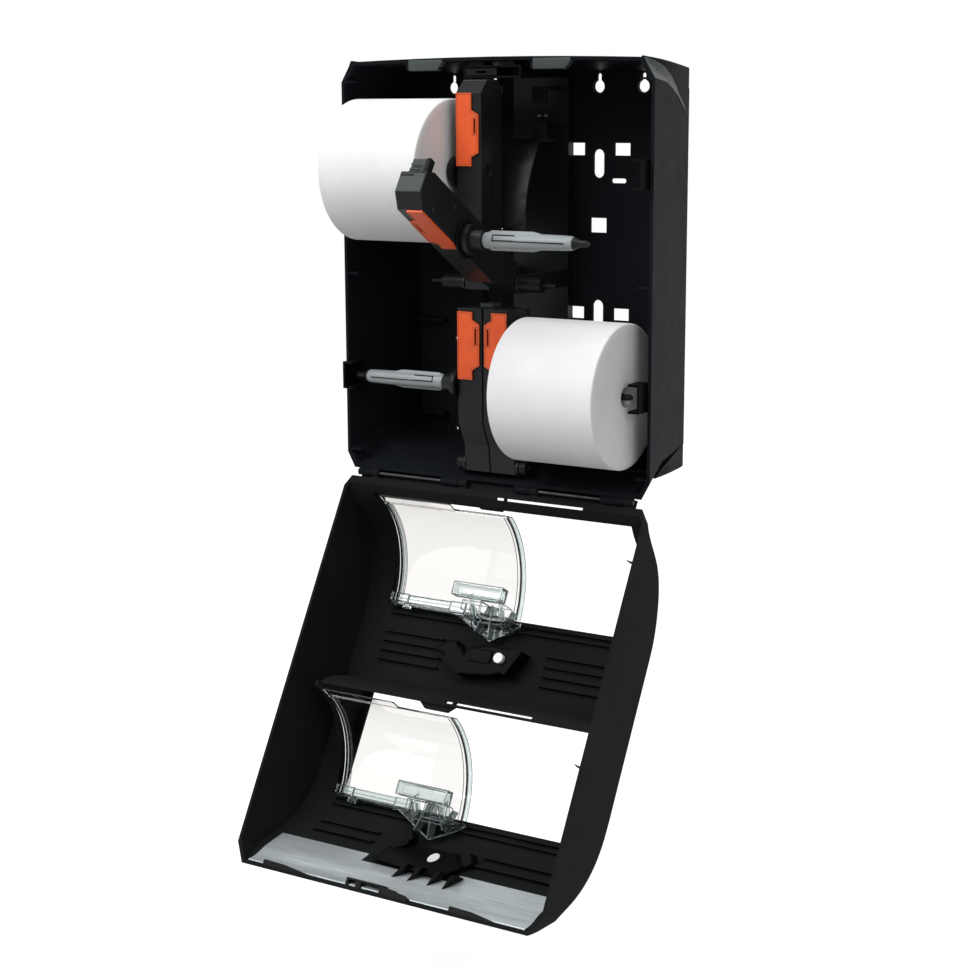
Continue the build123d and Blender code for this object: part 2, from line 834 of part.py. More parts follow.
with BuildPart() as cover_shell:
    add(cover_block.part)
    add(cover_space.part, mode=Mode.SUBTRACT)
    for window_cut in window_cuts:
        add(window_cut, mode=Mode.SUBTRACT)
    add(shelf.part)
    add(cheeks.part)
    add(rails.part)
    add(tongues.part)
    for knuckle_box in knuckle_boxes:
        add(knuckle_box)
    for slot_cut in slot_cuts:
        add(slot_cut, mode=Mode.SUBTRACT)
    add(pin_hole, mode=Mode.SUBTRACT)
save_on_cover(cover_shell.part, "cover_shell")

# Hinge pins: one for each pair of knuckles
pin_ranges = {
    "left": (housing_knuckles[0][0], housing_knuckles[1][1] + hinge_end_gap + cover_knuckle_width),
    "right": (housing_knuckles[2][0], housing_knuckles[3][1] + hinge_end_gap + cover_knuckle_width),
}
for side_name, (pin_start, pin_end) in pin_ranges.items():
    with BuildPart() as hinge_pin:
        with BuildSketch(Plane.YZ.offset(pin_start)):
            with Locations((rim_y, hinge_height)):
                Circle(hinge_pin_radius)
        extrude(amount=pin_end - pin_start)
    save(hinge_pin.part, side_name + "_hinge_pin")


# Doors: each is a clear curtain with a rail along its head and a carriage that runs under the guide ribs
door_head_d = door_centre_d + (door_radius**2 - (door_head_s - door_centre_s) ** 2) ** 0.5
rail_strip_gap = 0.3
rail_strip_width = 1.7
rail_strip_inward = 4.5
rail_strip_outward = 2.8
carriage_start_x = -50.0
carriage_end_x = 24.0
carriage_end_s = 121.0
carriage_thickness = 3.2
carriage_clearance = 0.5
carriage_nose = 9.0
stop_start_x = -44.0
stop_end_x = 46.0
stop_foot_s = 127.0
stop_head_s = 151.0
stop_slant = 9.0
stop_pin_x = 15.0
stop_pin_s = 135.0
stop_pin_radius = 4.5
stop_pin_proud = 3.0
lower_stop_depth = 14.0
upper_stop_depth = 5.5
feeler_start_x = -33.0
feeler_end_x = 16.0
feeler_foot_s = 79.0
feeler_head_s = 90.0
feeler_d = 36.0
feeler_thickness = 9.0
feeler_wall = 1.6
leg_start_x = -18.0
leg_end_x = 12.0
leg_shoulder_s = 102.0
leg_shoulder_d = 58.0
leg_head_s = 117.0
leg_front_d = 42.0
tooth_start_x = -38.0
tooth_pitch = 18.0
tooth_width = 7.0
tooth_length = 10.0
wall_gap = 0.2
lining_thickness = 0.9

carriage_outer = cover_wall + rail_height + carriage_clearance
carriage_layer = cover_layer(carriage_outer, carriage_outer + carriage_thickness)


def door_arc(module_s, radius):
    """The three points of a door's curve, from its foot round to its head."""
    centre_s = module_s + door_centre_s
    foot = on_side(
        centre_s - (radius**2 - (door_foot_d - door_centre_d) ** 2) ** 0.5,
        door_foot_d,
    )
    middle = on_side(centre_s - radius * 0.5**0.5, door_centre_d + radius * 0.5**0.5)
    head_rise = (radius**2 - (door_head_s - door_centre_s) ** 2) ** 0.5
    head = on_side(module_s + door_head_s, door_centre_d + head_rise)
    return foot, middle, head


def door_panel(module_s):
    """The clear curtain of one opening, standing over its left half."""
    inner = door_arc(module_s, door_radius)
    outer = door_arc(module_s, door_radius + door_thickness)
    with BuildPart() as panel:
        with BuildSketch(Plane.YZ.offset(door_left_x)):
            with BuildLine():
                ThreePointArc(*inner)
                Line(inner[2], outer[2])
                ThreePointArc(*reversed(outer))
                Line(outer[0], inner[0])
            make_face()
        extrude(amount=door_right_x - door_left_x)
    return panel.part


def in_front(module_s, points):
    """A flat outline across the cover's face, as X and the height above the hinge, cut right through."""
    with BuildPart() as prism:
        with BuildSketch(Plane.XZ.offset(housing_depth)):
            with BuildLine():
                Polyline(*[(x, hinge_height + module_s + s) for x, s in points], close=True)
            make_face()
        extrude(amount=cover_gap + cover_depth + overrun)
    return prism.part


def leg(module_s, start):
    """One upright web of a carriage, from the base plate in to the feeler."""
    outline = [
        (feeler_foot_s + feeler_wall, feeler_d + feeler_thickness - feeler_wall),
        (feeler_head_s, feeler_d + feeler_wall),
        (feeler_head_s + feeler_wall, leg_front_d),
        (leg_head_s, leg_front_d + 2 * feeler_thickness),
        (leg_head_s, cover_depth),
        (leg_shoulder_s, cover_depth),
        (leg_shoulder_s, leg_shoulder_d),
    ]
    with BuildPart() as web:
        with BuildSketch(Plane.YZ.offset(start)):
            with BuildLine():
                Polyline(*[on_side(module_s + s, d) for s, d in outline], close=True)
            make_face()
        extrude(amount=feeler_wall)
    return web.part


def door_carriage(module_s):
    """The slider under a door: a base plate, two webs and the hollow feeler that they carry."""
    with BuildPart() as webs:
        add(leg(module_s, leg_start_x))
        add(leg(module_s, leg_end_x))
        add(
            cover_box(
                leg_start_x,
                leg_end_x + feeler_wall,
                module_s + leg_shoulder_s,
                module_s + leg_shoulder_s + feeler_wall,
                leg_shoulder_d,
                cover_depth,
            )
        )
        add(cover_body(carriage_outer + carriage_thickness / 2), mode=Mode.INTERSECT)
    with BuildPart() as carriage:
        add(in_front(module_s, carriage_outline))
        add(carriage_layer, mode=Mode.INTERSECT)
        add(webs.part)
        add(
            cover_box(
                feeler_start_x,
                feeler_end_x,
                module_s + feeler_foot_s,
                module_s + feeler_head_s,
                feeler_d,
                feeler_d + feeler_thickness,
            )
        )
        add(
            cover_box(
                feeler_start_x + feeler_wall,
                feeler_end_x - feeler_wall,
                module_s + feeler_foot_s + feeler_wall,
                module_s + feeler_head_s - feeler_wall,
                feeler_d - overrun,
                feeler_d + feeler_thickness - feeler_wall,
            ),
            mode=Mode.SUBTRACT,
        )
    return carriage.part


def stop_teeth(module_s):
    """Four teeth along the head of a stop, standing clear of the lining."""
    teeth_layer = cover_layer(
        cover_wall + 2 * wall_gap + lining_thickness, cover_wall + wall_gap + upper_stop_depth
    )
    with BuildPart() as teeth:
        for number in range(4):
            tooth_x = tooth_start_x + number * tooth_pitch
            outline = [
                (tooth_x, stop_head_s - tooth_width / 2),
                (tooth_x + tooth_width, stop_head_s - tooth_width / 2),
                (tooth_x + tooth_width, stop_head_s),
                (tooth_x, stop_head_s + tooth_length),
            ]
            add(in_front(module_s, outline))
        add(teeth_layer, mode=Mode.INTERSECT)
    return teeth.part


carriage_outline = [
    (carriage_start_x, door_head_s + rail_strip_gap + rail_strip_width),
    (carriage_start_x, carriage_end_s - carriage_nose),
    (carriage_start_x + carriage_nose, carriage_end_s),
    (carriage_end_x - 2 * carriage_nose, carriage_end_s),
    (carriage_end_x, carriage_end_s - carriage_nose),
    (carriage_end_x, door_head_s + rail_strip_gap + rail_strip_width),
]
stop_outline = [
    (stop_start_x, stop_foot_s + stop_slant / 2),
    (stop_start_x + stop_slant, stop_foot_s),
    (stop_end_x - stop_slant, stop_foot_s),
    (stop_end_x, stop_foot_s + stop_slant),
    (stop_end_x - stop_slant, stop_head_s),
    (stop_start_x + 2 * stop_slant, stop_head_s),
    (stop_start_x, stop_head_s - stop_slant),
]

for module_s, level, stop_depth in (
    (0, "lower", lower_stop_depth),
    (module_pitch, "upper", upper_stop_depth),
):
    save_on_cover(door_panel(module_s), level + "_door_panel")
    strip = cover_box(
        door_left_x,
        door_right_x,
        module_s + door_head_s + rail_strip_gap,
        module_s + door_head_s + rail_strip_gap + rail_strip_width,
        door_head_d - rail_strip_inward,
        door_head_d + rail_strip_outward,
    )
    save_on_cover(strip, level + "_door_rail")
    save_on_cover(door_carriage(module_s), level + "_door_carriage")
    stop_layer = cover_layer(cover_wall + wall_gap, cover_wall + wall_gap + stop_depth)
    pin_top = cover_wall + wall_gap + stop_depth
    with BuildPart() as pin_rod:
        with BuildSketch(Plane.XZ.offset(housing_depth)):
            with Locations((stop_pin_x, hinge_height + module_s + stop_pin_s)):
                Circle(stop_pin_radius)
        extrude(amount=cover_gap + cover_depth)
    with BuildPart() as door_stop:
        add(in_front(module_s, stop_outline))
        add(stop_layer, mode=Mode.INTERSECT)
        add(pin_rod.part, mode=Mode.SUBTRACT)
        if module_s:
            add(stop_teeth(module_s))
    save_on_cover(door_stop.part, level + "_door_stop")
    pin_layer = cover_layer(cover_wall + wall_gap, pin_top + (stop_pin_proud if module_s == 0 else wall_gap))
    with BuildPart() as stop_pin:
        add(pin_rod.part)
        add(pin_layer, mode=Mode.INTERSECT)
    save_on_cover(stop_pin.part, level + "_stop_pin")


# Pieces at the head of the cover: the bright lining, the catch for the lock and two locating tabs
lining_foot_s = 324.0
lining_side_gap = 10.0
lining_half_width = cover_front_half_width - lining_side_gap
lining_rim_d = 2.0
catch_half_width = 30.0
catch_foot_s = 345.0
catch_window_height = 5.0
catch_depth = 11.0
catch_slot_start_x = -22.0
catch_slot_end_x = -14.0
catch_window_start_x = -10.0
catch_window_end_x = 10.0
catch_wall = 2.0
left_tab_side_gap = 35.0
right_tab_side_gap = 28.0
tab_length = 55.0
tab_point = 20.0
tab_ranges = [
    (left_tab_side_gap - rim_half_width, left_tab_side_gap + tab_length - rim_half_width),
    (rim_half_width - right_tab_side_gap - tab_length, rim_half_width - right_tab_side_gap),
]
tab_depth = 8.0
tab_foot_s = 345.5

lining_inner = cover_wall + wall_gap + lining_thickness
with BuildPart() as cover_lining:
    add(
        cover_box(
            -lining_half_width, lining_half_width, lining_foot_s, cover_height, lining_rim_d, cover_depth
        )
    )
    add(cover_layer(cover_wall + wall_gap, lining_inner), mode=Mode.INTERSECT)
    add(
        cover_box(
            stop_start_x - lining_thickness,
            stop_end_x + lining_thickness,
            lining_foot_s,
            module_pitch + stop_head_s + lining_thickness,
            0,
            cover_depth,
        ),
        mode=Mode.SUBTRACT,
    )
save_on_cover(cover_lining.part, "cover_lining")

head_space = cover_body(lining_inner + wall_gap)
with BuildPart() as cover_catch:
    add(cover_box(-catch_half_width, catch_half_width, catch_foot_s, cover_height, wall_gap, catch_depth))
    for cut_start, cut_end in (
        (catch_slot_start_x, catch_slot_end_x),
        (catch_window_start_x, catch_window_end_x),
    ):
        cut = cover_box(
            cut_start,
            cut_end,
            catch_foot_s + catch_wall,
            catch_foot_s + catch_wall + catch_window_height,
            -overrun,
            cover_depth,
        )
        add(cut, mode=Mode.SUBTRACT)
    add(head_space, mode=Mode.INTERSECT)
save_on_cover(cover_catch.part, "cover_catch")

for (tab_start, tab_end), side_name in zip(tab_ranges, ("left", "right")):
    with BuildPart() as locating_tab:
        with BuildSketch(Plane.XZ.offset(housing_depth + cover_gap + wall_gap)):
            with BuildLine():
                Polyline(
                    (tab_start, hinge_height + tab_foot_s),
                    (tab_end - tab_point, hinge_height + tab_foot_s),
                    (tab_end, hinge_height + cover_height),
                    (tab_start, hinge_height + cover_height),
                    close=True,
                )
            make_face()
        extrude(amount=tab_depth)
        add(head_space, mode=Mode.INTERSECT)
    save_on_cover(locating_tab.part, side_name + "_locating_tab")


# Roll arms, drawn upright. Each carries a front plate, a release tab and the spindle for one roll.
# Heights here are measured from the arm's own pivot or spindle.
upper_reach_above_spindle = 75.0
lower_reach_above_spindle = 66.0
heel_front_up = 38.0
heel_middle_up = 18.0
heel_middle_back = 9.5
heel_toe_y = 6.0
heel_drop = 5.5
heel_back_y = 3.0
heel_bottom = 7.6
heel_back_up = 12.0
boss_clear_radius = 9.0
core_radius = 5.0
core_fit = 0.05

plate_foot = -2.0
plate_thickness = 1.6
plate_seat_gap = 0.2
plate_width = 14.4
plate_head_margin = 1.5
plate_edge = 0.6
lobe_width = 7.0
lobe_foot = 10.0
lobe_head = 44.0
lobe_slant = 4.0
plate_slot_width = 2.0
plate_slot_foot = 27.0
plate_slot_head = 41.0

tab_width = 16.0
tab_height = 9.0
tab_back_reach = 9.0
tab_body = 13.0
tab_top_gap = 0.3

flange_radius = 15.5
flange_thickness = 2.4
flange_gap = 0.2
hub_radius = 12.5
hub_thickness = 5.4
collar_radius = 7.8
rod_radius = 3.2
barrel_arm_gap = 18.9
barrel_side_gap = 11.7
barrel_start_x = arm_inner_gap + arm_width + barrel_arm_gap
barrel_end_x = back_half_width - barrel_side_gap
barrel_radius = 6.3
fin_reach = 7.9
fin_thickness = 1.6
fin_share = 0.6
clip_slot_width = 3.0
clip_slot_length = 22.0
tip_radius = 2.6
tip_reach = 1.4
tip_end_x = back_half_width + tip_reach
tip_cone_length = 5.0
core_start_x = 3.0
fit_gap = 0.1


def arm_section(pivot_z, top, inset):
    """An arm's outline from the side, as Y and Z, drawn in by a wall thickness and open at the back."""
    back_y = arm_back_y + (overrun if inset else 0)
    if inset:
        return [
            (arm_front_y + inset, pivot_z + heel_front_up + arm_heel_radius),
            (arm_front_y + inset, top - arm_bevel),
            (arm_front_y + arm_bevel, top - inset),
            (back_y, top - inset),
            (back_y, pivot_z + heel_front_up + arm_heel_radius),
        ]
    return [
        (pivot_y - heel_toe_y, pivot_z - heel_drop),
        (arm_front_y + heel_middle_back, pivot_z + heel_middle_up),
        (arm_front_y, pivot_z + heel_front_up),
        (arm_front_y, top - arm_bevel),
        (arm_front_y + arm_bevel, top),
        (back_y - arm_bevel / 2, top),
        (back_y, top - arm_bevel),
        (back_y, pivot_z + heel_back_up),
        (pivot_y + heel_bottom, pivot_z - heel_back_y / 2),
        (pivot_y + heel_back_y, pivot_z - heel_bottom),
    ]


def side_prism(points, x_start, width):
    """An outline from the side, given thickness along X."""
    with BuildPart() as prism:
        with BuildSketch(Plane.YZ.offset(x_start)):
            with BuildLine():
                Polyline(*points, close=True)
            make_face()
        extrude(amount=width)
    return prism.part


def x_rod(x_start, length, y, z, radius):
    """A round bar along X."""
    with BuildPart() as rod:
        with BuildSketch(Plane.YZ.offset(x_start)):
            with Locations((y, z)):
                Circle(radius)
        extrude(amount=length)
    return rod.part


def turned(side, z, outline):
    """A piece turned about a spindle's centre line, from points of distance along X and radius."""
    with BuildPart() as piece:
        with BuildSketch(Plane.XY.offset(z)):
            with BuildLine():
                Polyline(*[(side * x, spindle_y + radius) for x, radius in outline], close=True)
            make_face()
        revolve(axis=Axis((0, spindle_y, z), (1, 0, 0)))
    return piece.part


def start_x(side, near, width):
    """Where a piece begins along X when it lies from a distance out from the middle to further out."""
    return near if side > 0 else -near - width


def arm_shell(side, pivot_z, spindle_z, top):
    """The moulded arm: a long box open at the back, with a round seat at each end."""
    outer_start = start_x(side, arm_inner_gap, arm_width)
    with BuildPart() as arm:
        add(side_prism(arm_section(pivot_z, top, 0), outer_start, arm_width))
        add(
            side_prism(
                arm_section(pivot_z, top, arm_wall), outer_start + arm_wall, arm_width - 2 * arm_wall
            ),
            mode=Mode.SUBTRACT,
        )
        add(x_rod(outer_start, arm_width, spindle_y, spindle_z, boss_clear_radius))
        add(x_rod(outer_start, arm_width, spindle_y, spindle_z, core_radius + core_fit), mode=Mode.SUBTRACT)
        add(x_rod(outer_start, arm_width, pivot_y, pivot_z, pivot_radius + pivot_fit), mode=Mode.SUBTRACT)
    return arm.part


def arm_plate(side, spindle_z, top):
    """The coloured plate on an arm's face, with its lobe towards the middle and a slot in the lobe."""
    outer_x = arm_inner_gap + arm_width - plate_edge
    inner_x = outer_x - plate_width
    lobe_x = inner_x - lobe_width
    head_z = top - arm_bevel - plate_head_margin
    slot_x = inner_x - lobe_width / 2
    outline = [
        (outer_x, spindle_z + plate_foot),
        (outer_x, head_z),
        (inner_x, head_z),
        (inner_x, spindle_z + lobe_head + lobe_slant),
        (lobe_x, spindle_z + lobe_head),
        (lobe_x, spindle_z + lobe_foot),
        (inner_x, spindle_z + lobe_foot - lobe_slant),
        (inner_x, spindle_z + plate_foot),
    ]
    with BuildPart() as plate:
        with BuildSketch(Plane.XZ.offset(-arm_front_y + plate_seat_gap)):
            with BuildLine():
                Polyline(*[(side * x, z) for x, z in outline], close=True)
            make_face()
            with Locations((side * slot_x, spindle_z + (plate_slot_foot + plate_slot_head) / 2)):
                Rectangle(plate_slot_width, plate_slot_head - plate_slot_foot, mode=Mode.SUBTRACT)
        extrude(amount=plate_thickness)
    return plate.part


def release_tab(side, top):
    """The finger tab that lies under the head of an arm and stands out behind it."""
    near = arm_inner_gap + (arm_width - tab_width) / 2
    tab_top = top - arm_wall - tab_top_gap
    with BuildPart() as tab:
        with BuildSketch(Plane.YZ.offset(start_x(side, near, tab_width))):
            with BuildLine():
                Polyline(
                    (arm_back_y - tab_body, tab_top - tab_height),
                    (arm_back_y - tab_body, tab_top),
                    (arm_back_y - arm_bevel / 2, tab_top),
                    (arm_back_y, tab_top - tab_height / 4),
                    (arm_back_y + tab_back_reach, tab_top - tab_height / 4),
                    (arm_back_y + tab_back_reach, tab_top - tab_height),
                    close=True,
                )
            make_face()
        extrude(amount=tab_width)
    return tab.part


def spindle_flange(side, spindle_z):
    """The round cheek on the arm's outer side that the roll's end runs against."""
    near = arm_inner_gap + arm_width + flange_gap
    with BuildPart() as flange:
        flange_start = start_x(side, near, flange_thickness)
        add(x_rod(flange_start, flange_thickness, spindle_y, spindle_z, flange_radius))
        add(
            x_rod(
                start_x(side, near, flange_thickness),
                flange_thickness,
                spindle_y,
                spindle_z,
                core_radius + core_fit,
            ),
            mode=Mode.SUBTRACT,
        )
    return flange.part


def spindle_core(side, spindle_z):
    """The turning spindle: a journal in the arm, a hub, a collar, a rod and the pointed tip."""
    hub_x = arm_inner_gap + arm_width + flange_gap + flange_thickness + 2 * flange_gap
    outline = [
        (core_start_x, 0),
        (core_start_x, core_radius),
        (hub_x, core_radius),
        (hub_x, hub_radius),
        (hub_x + hub_thickness, hub_radius),
        (hub_x + hub_thickness, collar_radius),
        (barrel_start_x - fit_gap, collar_radius),
        (barrel_start_x - fit_gap, rod_radius),
        (barrel_end_x + fit_gap, rod_radius),
        (barrel_end_x + fit_gap, barrel_radius - tip_radius / 2),
        (barrel_end_x + fit_gap + tip_cone_length, tip_radius),
        (tip_end_x - tip_radius, tip_radius),
        (tip_end_x, tip_radius / 2),
        (tip_end_x, 0),
    ]
    return turned(side, spindle_z, outline)


def spindle_barrel(side, spindle_z):
    """The light sleeve that the roll is pushed on to, with four fins and a spring clip cut in its end."""
    length = barrel_end_x - barrel_start_x
    fin_length = length * fin_share
    near = start_x(side, barrel_start_x, length)
    fin_near = start_x(side, barrel_start_x, fin_length)
    clip_near = start_x(side, barrel_end_x - clip_slot_length, clip_slot_length)
    with BuildPart() as barrel:
        add(x_rod(near, length, spindle_y, spindle_z, barrel_radius))
        with BuildSketch(Plane.YZ.offset(fin_near)):
            with Locations((spindle_y, spindle_z)):
                Rectangle(2 * fin_reach, fin_thickness)
                Rectangle(fin_thickness, 2 * fin_reach)
        extrude(amount=fin_length)
        for clip_y in (spindle_y - barrel_radius, spindle_y + barrel_radius):
            with BuildSketch(Plane.YZ.offset(clip_near)):
                with Locations((clip_y, spindle_z - clip_slot_width), (clip_y, spindle_z + clip_slot_width)):
                    Rectangle(clip_slot_width, clip_slot_width / 2)
            extrude(amount=clip_slot_length, mode=Mode.SUBTRACT)
        add(x_rod(near, length, spindle_y, spindle_z, rod_radius + fit_gap), mode=Mode.SUBTRACT)
    return barrel.part


def paper_roll(side, spindle_z):
    """A wound roll with no core, only a small round hole through its middle."""
    near = roll_centre_x - roll_width / 2
    with BuildPart() as roll:
        add(x_rod(start_x(side, near, roll_width), roll_width, spindle_y, spindle_z, roll_radius))
        fillet(roll.edges(), radius=roll_edge_radius)
        add(
            x_rod(start_x(side, near, roll_width), roll_width, spindle_y, spindle_z, roll_bore_radius),
            mode=Mode.SUBTRACT,
        )
    return roll.part


for level, pivot_z, spindle_z, reach in (
    ("upper", upper_pivot_z, upper_spindle_z, upper_reach_above_spindle),
    ("lower", lower_pivot_z, lower_spindle_z, lower_reach_above_spindle),
):
    arm_axis = Axis((0, pivot_y, pivot_z), (1, 0, 0))
    top = spindle_z + reach
    for side, side_name in ((-1, "left"), (1, "right")):
        name = level + "_" + side_name
        swing = arm_open_angle if name == "upper_right" else 0
        loaded = name in ("upper_left", "lower_right")
        pieces = {
            "arm": arm_shell(side, pivot_z, spindle_z, top),
            "arm_plate": arm_plate(side, spindle_z, top),
            "release_tab": release_tab(side, top),
            "flange": spindle_flange(side, spindle_z),
            "spindle_core": spindle_core(side, spindle_z),
            "spindle_barrel": spindle_barrel(side, spindle_z),
        }
        if loaded:
            pieces["roll"] = paper_roll(side, spindle_z)
        for piece_name, piece in pieces.items():
            save(piece.rotate(arm_axis, swing), name + "_" + piece_name)
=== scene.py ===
"""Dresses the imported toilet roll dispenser: housing, let-down cover, roll arms, clear doors, paper rolls."""

import math

import bpy
from mathutils import Matrix, Vector


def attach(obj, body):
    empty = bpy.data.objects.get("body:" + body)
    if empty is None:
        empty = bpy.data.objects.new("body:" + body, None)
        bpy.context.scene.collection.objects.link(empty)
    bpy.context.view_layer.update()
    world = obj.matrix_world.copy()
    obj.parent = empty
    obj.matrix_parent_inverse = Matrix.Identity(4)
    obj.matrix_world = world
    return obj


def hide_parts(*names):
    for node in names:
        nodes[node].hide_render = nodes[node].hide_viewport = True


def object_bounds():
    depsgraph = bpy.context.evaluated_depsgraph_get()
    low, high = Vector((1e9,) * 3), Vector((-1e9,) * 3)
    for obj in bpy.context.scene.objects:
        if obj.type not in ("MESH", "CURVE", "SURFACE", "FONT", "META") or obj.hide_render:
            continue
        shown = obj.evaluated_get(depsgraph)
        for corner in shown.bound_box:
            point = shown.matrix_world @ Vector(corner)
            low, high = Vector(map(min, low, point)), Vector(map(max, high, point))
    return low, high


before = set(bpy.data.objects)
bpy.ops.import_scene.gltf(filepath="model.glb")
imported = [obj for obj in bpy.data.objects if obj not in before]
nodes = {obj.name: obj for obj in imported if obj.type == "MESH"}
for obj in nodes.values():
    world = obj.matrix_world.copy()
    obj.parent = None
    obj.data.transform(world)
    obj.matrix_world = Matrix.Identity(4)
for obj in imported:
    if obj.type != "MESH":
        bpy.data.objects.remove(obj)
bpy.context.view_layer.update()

mm = 0.001

LEVELS = ("upper", "lower")
SIDES = ("left", "right")
ARMS = tuple(f"{level}_{side}" for level in LEVELS for side in SIDES)
ARMS_WITH_ROLL = ("upper_left", "lower_right")

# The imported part's own places and angles, in millimetres and degrees
HINGE_Y = -95.0
HINGE_Z = -179.5
COVER_GAP = 0.5
COVER_OPEN = 150.0
WINDOW_FOOT = {"lower": 0.0, "upper": 179.5}
DOOR_CENTRE_UP = 99.5
DOOR_CENTRE_OUT = -9.0
ARM_OPEN = 58.0
UPPER_PIVOT = (-91.0, -5.0)
SPINDLE_Y = -99.0
SPINDLE_Z = {"upper": 88.0, "lower": -91.5}
ARM_TOP = {"upper": 163.0, "lower": -25.5}
KEYHOLES_X = (-95.9, -52.4, 52.4, 95.9)
KEYHOLES_Z = 158.0

# Loose triangles closer than this are merged, in metres
MERGE_REACH = 0.00002


# Camera at the photograph's place
def camera_from_photograph():
    place = (0.84622, -1.46739, 0.14115)
    yaw, pitch, roll = 0.5561, 0.1956, -0.0038
    focal_pixels = 1908.3
    picture_pixels = 970
    sensor_width = 36.0
    ahead = Vector((-math.sin(yaw) * math.cos(pitch), math.cos(yaw) * math.cos(pitch), -math.sin(pitch)))
    across = Vector((math.cos(yaw), math.sin(yaw), 0.0))
    upward = across.cross(ahead)
    across_rolled = math.cos(roll) * across + math.sin(roll) * upward
    upward_rolled = math.cos(roll) * upward - math.sin(roll) * across
    lens = bpy.data.cameras.new("photo_camera")
    lens.lens = focal_pixels / picture_pixels * sensor_width
    lens.sensor_width = sensor_width
    lens.clip_start, lens.clip_end = 0.05, 60.0
    camera = bpy.data.objects.new("photo_camera", lens)
    bpy.context.scene.collection.objects.link(camera)
    turn = Matrix((across_rolled, upward_rolled, -ahead)).transposed().to_4x4()
    camera.matrix_world = Matrix.Translation(place) @ turn
    bpy.context.scene.camera = camera


# Materials
class Finish:
    """One node material, with short calls for the nodes that most of the finishes share."""

    def __init__(self, name):
        self.material = bpy.data.materials.new(name)
        self.material.use_nodes = True
        self.tree = self.material.node_tree
        self.shader = self.tree.nodes["Principled BSDF"]
        self.place = self.tree.nodes.new("ShaderNodeTexCoord")

    def set(self, **values):
        for socket, value in values.items():
            self.shader.inputs[socket.replace("_", " ")].default_value = value

    def spread(self, scale):
        mapping = self.tree.nodes.new("ShaderNodeMapping")
        mapping.inputs["Scale"].default_value = scale
        self.tree.links.new(self.place.outputs["Object"], mapping.inputs["Vector"])
        return mapping.outputs["Vector"]

    def noise(self, scale, detail=3.0, where=None, rough=0.5):
        node = self.tree.nodes.new("ShaderNodeTexNoise")
        node.inputs["Scale"].default_value = scale
        node.inputs["Detail"].default_value = detail
        node.inputs["Roughness"].default_value = rough
        self.tree.links.new(where or self.place.outputs["Object"], node.inputs["Vector"])
        return node.outputs["Fac"]

    def pebbles(self, scale):
        node = self.tree.nodes.new("ShaderNodeTexVoronoi")
        node.inputs["Scale"].default_value = scale
        self.tree.links.new(self.place.outputs["Object"], node.inputs["Vector"])
        return node.outputs["Distance"]

    def colour(self, fac, dark, light, start=0.3, end=0.7):
        """A colour that runs from dark to light along a pattern."""
        node = self.tree.nodes.new("ShaderNodeValToRGB")
        elements = node.color_ramp.elements
        elements[0].position, elements[0].color = start, (*dark, 1)
        elements[1].position, elements[1].color = end, (*light, 1)
        self.tree.links.new(fac, node.inputs["Fac"])
        self.tree.links.new(node.outputs["Color"], self.shader.inputs["Base Color"])

    def roughness(self, fac, low, high):
        """A roughness that runs from low to high along a pattern."""
        node = self.tree.nodes.new("ShaderNodeMapRange")
        node.inputs["To Min"].default_value = low
        node.inputs["To Max"].default_value = high
        self.tree.links.new(fac, node.inputs["Value"])
        self.tree.links.new(node.outputs["Result"], self.shader.inputs["Roughness"])

    def bump(self, height, strength, distance=0.0001, over=None):
        node = self.tree.nodes.new("ShaderNodeBump")
        node.inputs["Strength"].default_value = strength
        node.inputs["Distance"].default_value = distance
        self.tree.links.new(height, node.inputs["Height"])
        if over is not None:
            self.tree.links.new(over, node.inputs["Normal"])
        self.tree.links.new(node.outputs["Normal"], self.shader.inputs["Normal"])
        return node.outputs["Normal"]


def moulded_black(name, dark, light, roughness, grain, gloss):
    """Black moulded plastic: fine spark texture, faint cloudy flow marks in colour and gloss."""
    finish = Finish(name)
    finish.set(IOR=1.49, Specular_IOR_Level=gloss)
    finish.colour(finish.noise(9.0, 4.0), dark, light)
    finish.roughness(finish.noise(60.0), roughness - 0.06, roughness + 0.07)
    slow = finish.bump(finish.noise(14.0, 2.0), 0.05, 0.0015)
    finish.bump(finish.pebbles(grain), 0.10, 0.00008, over=slow)
    return finish.material


def spindle_grey():
    finish = Finish("spindle_grey")
    finish.set(IOR=1.47, Specular_IOR_Level=0.5)
    finish.colour(finish.noise(40.0), (0.245, 0.275, 0.280), (0.305, 0.335, 0.340))
    finish.roughness(finish.noise(120.0, 2.0), 0.34, 0.46)
    finish.bump(finish.pebbles(3000.0), 0.12)
    return finish.material


def plate_orange():
    finish = Finish("plate_orange")
    finish.set(IOR=1.48, Specular_IOR_Level=0.45)
    finish.colour(finish.noise(55.0), (0.74, 0.085, 0.014), (0.86, 0.120, 0.022), 0.25, 0.75)
    finish.roughness(finish.noise(200.0, 2.0), 0.34, 0.5)
    finish.bump(finish.noise(1500.0, 2.0), 0.12)
    return finish.material


def plate_border():
    finish = Finish("plate_border")
    finish.set(IOR=1.48)
    finish.colour(finish.noise(80.0, 2.0), (0.09, 0.018, 0.006), (0.13, 0.028, 0.01))
    finish.roughness(finish.noise(200.0, 2.0), 0.4, 0.55)
    return finish.material


def edge_clear(name, dark, light, passing):
    """Clear plastic in a fixed darker or greyer colour: painted shade and reflection for how its edges look
    seen along their length.
    """
    finish = Finish(name)
    finish.set(IOR=1.46, Transmission_Weight=passing, Specular_IOR_Level=0.5)
    finish.colour(finish.noise(260.0), dark, light)
    finish.roughness(finish.noise(90.0), 0.06, 0.16)
    return finish.material


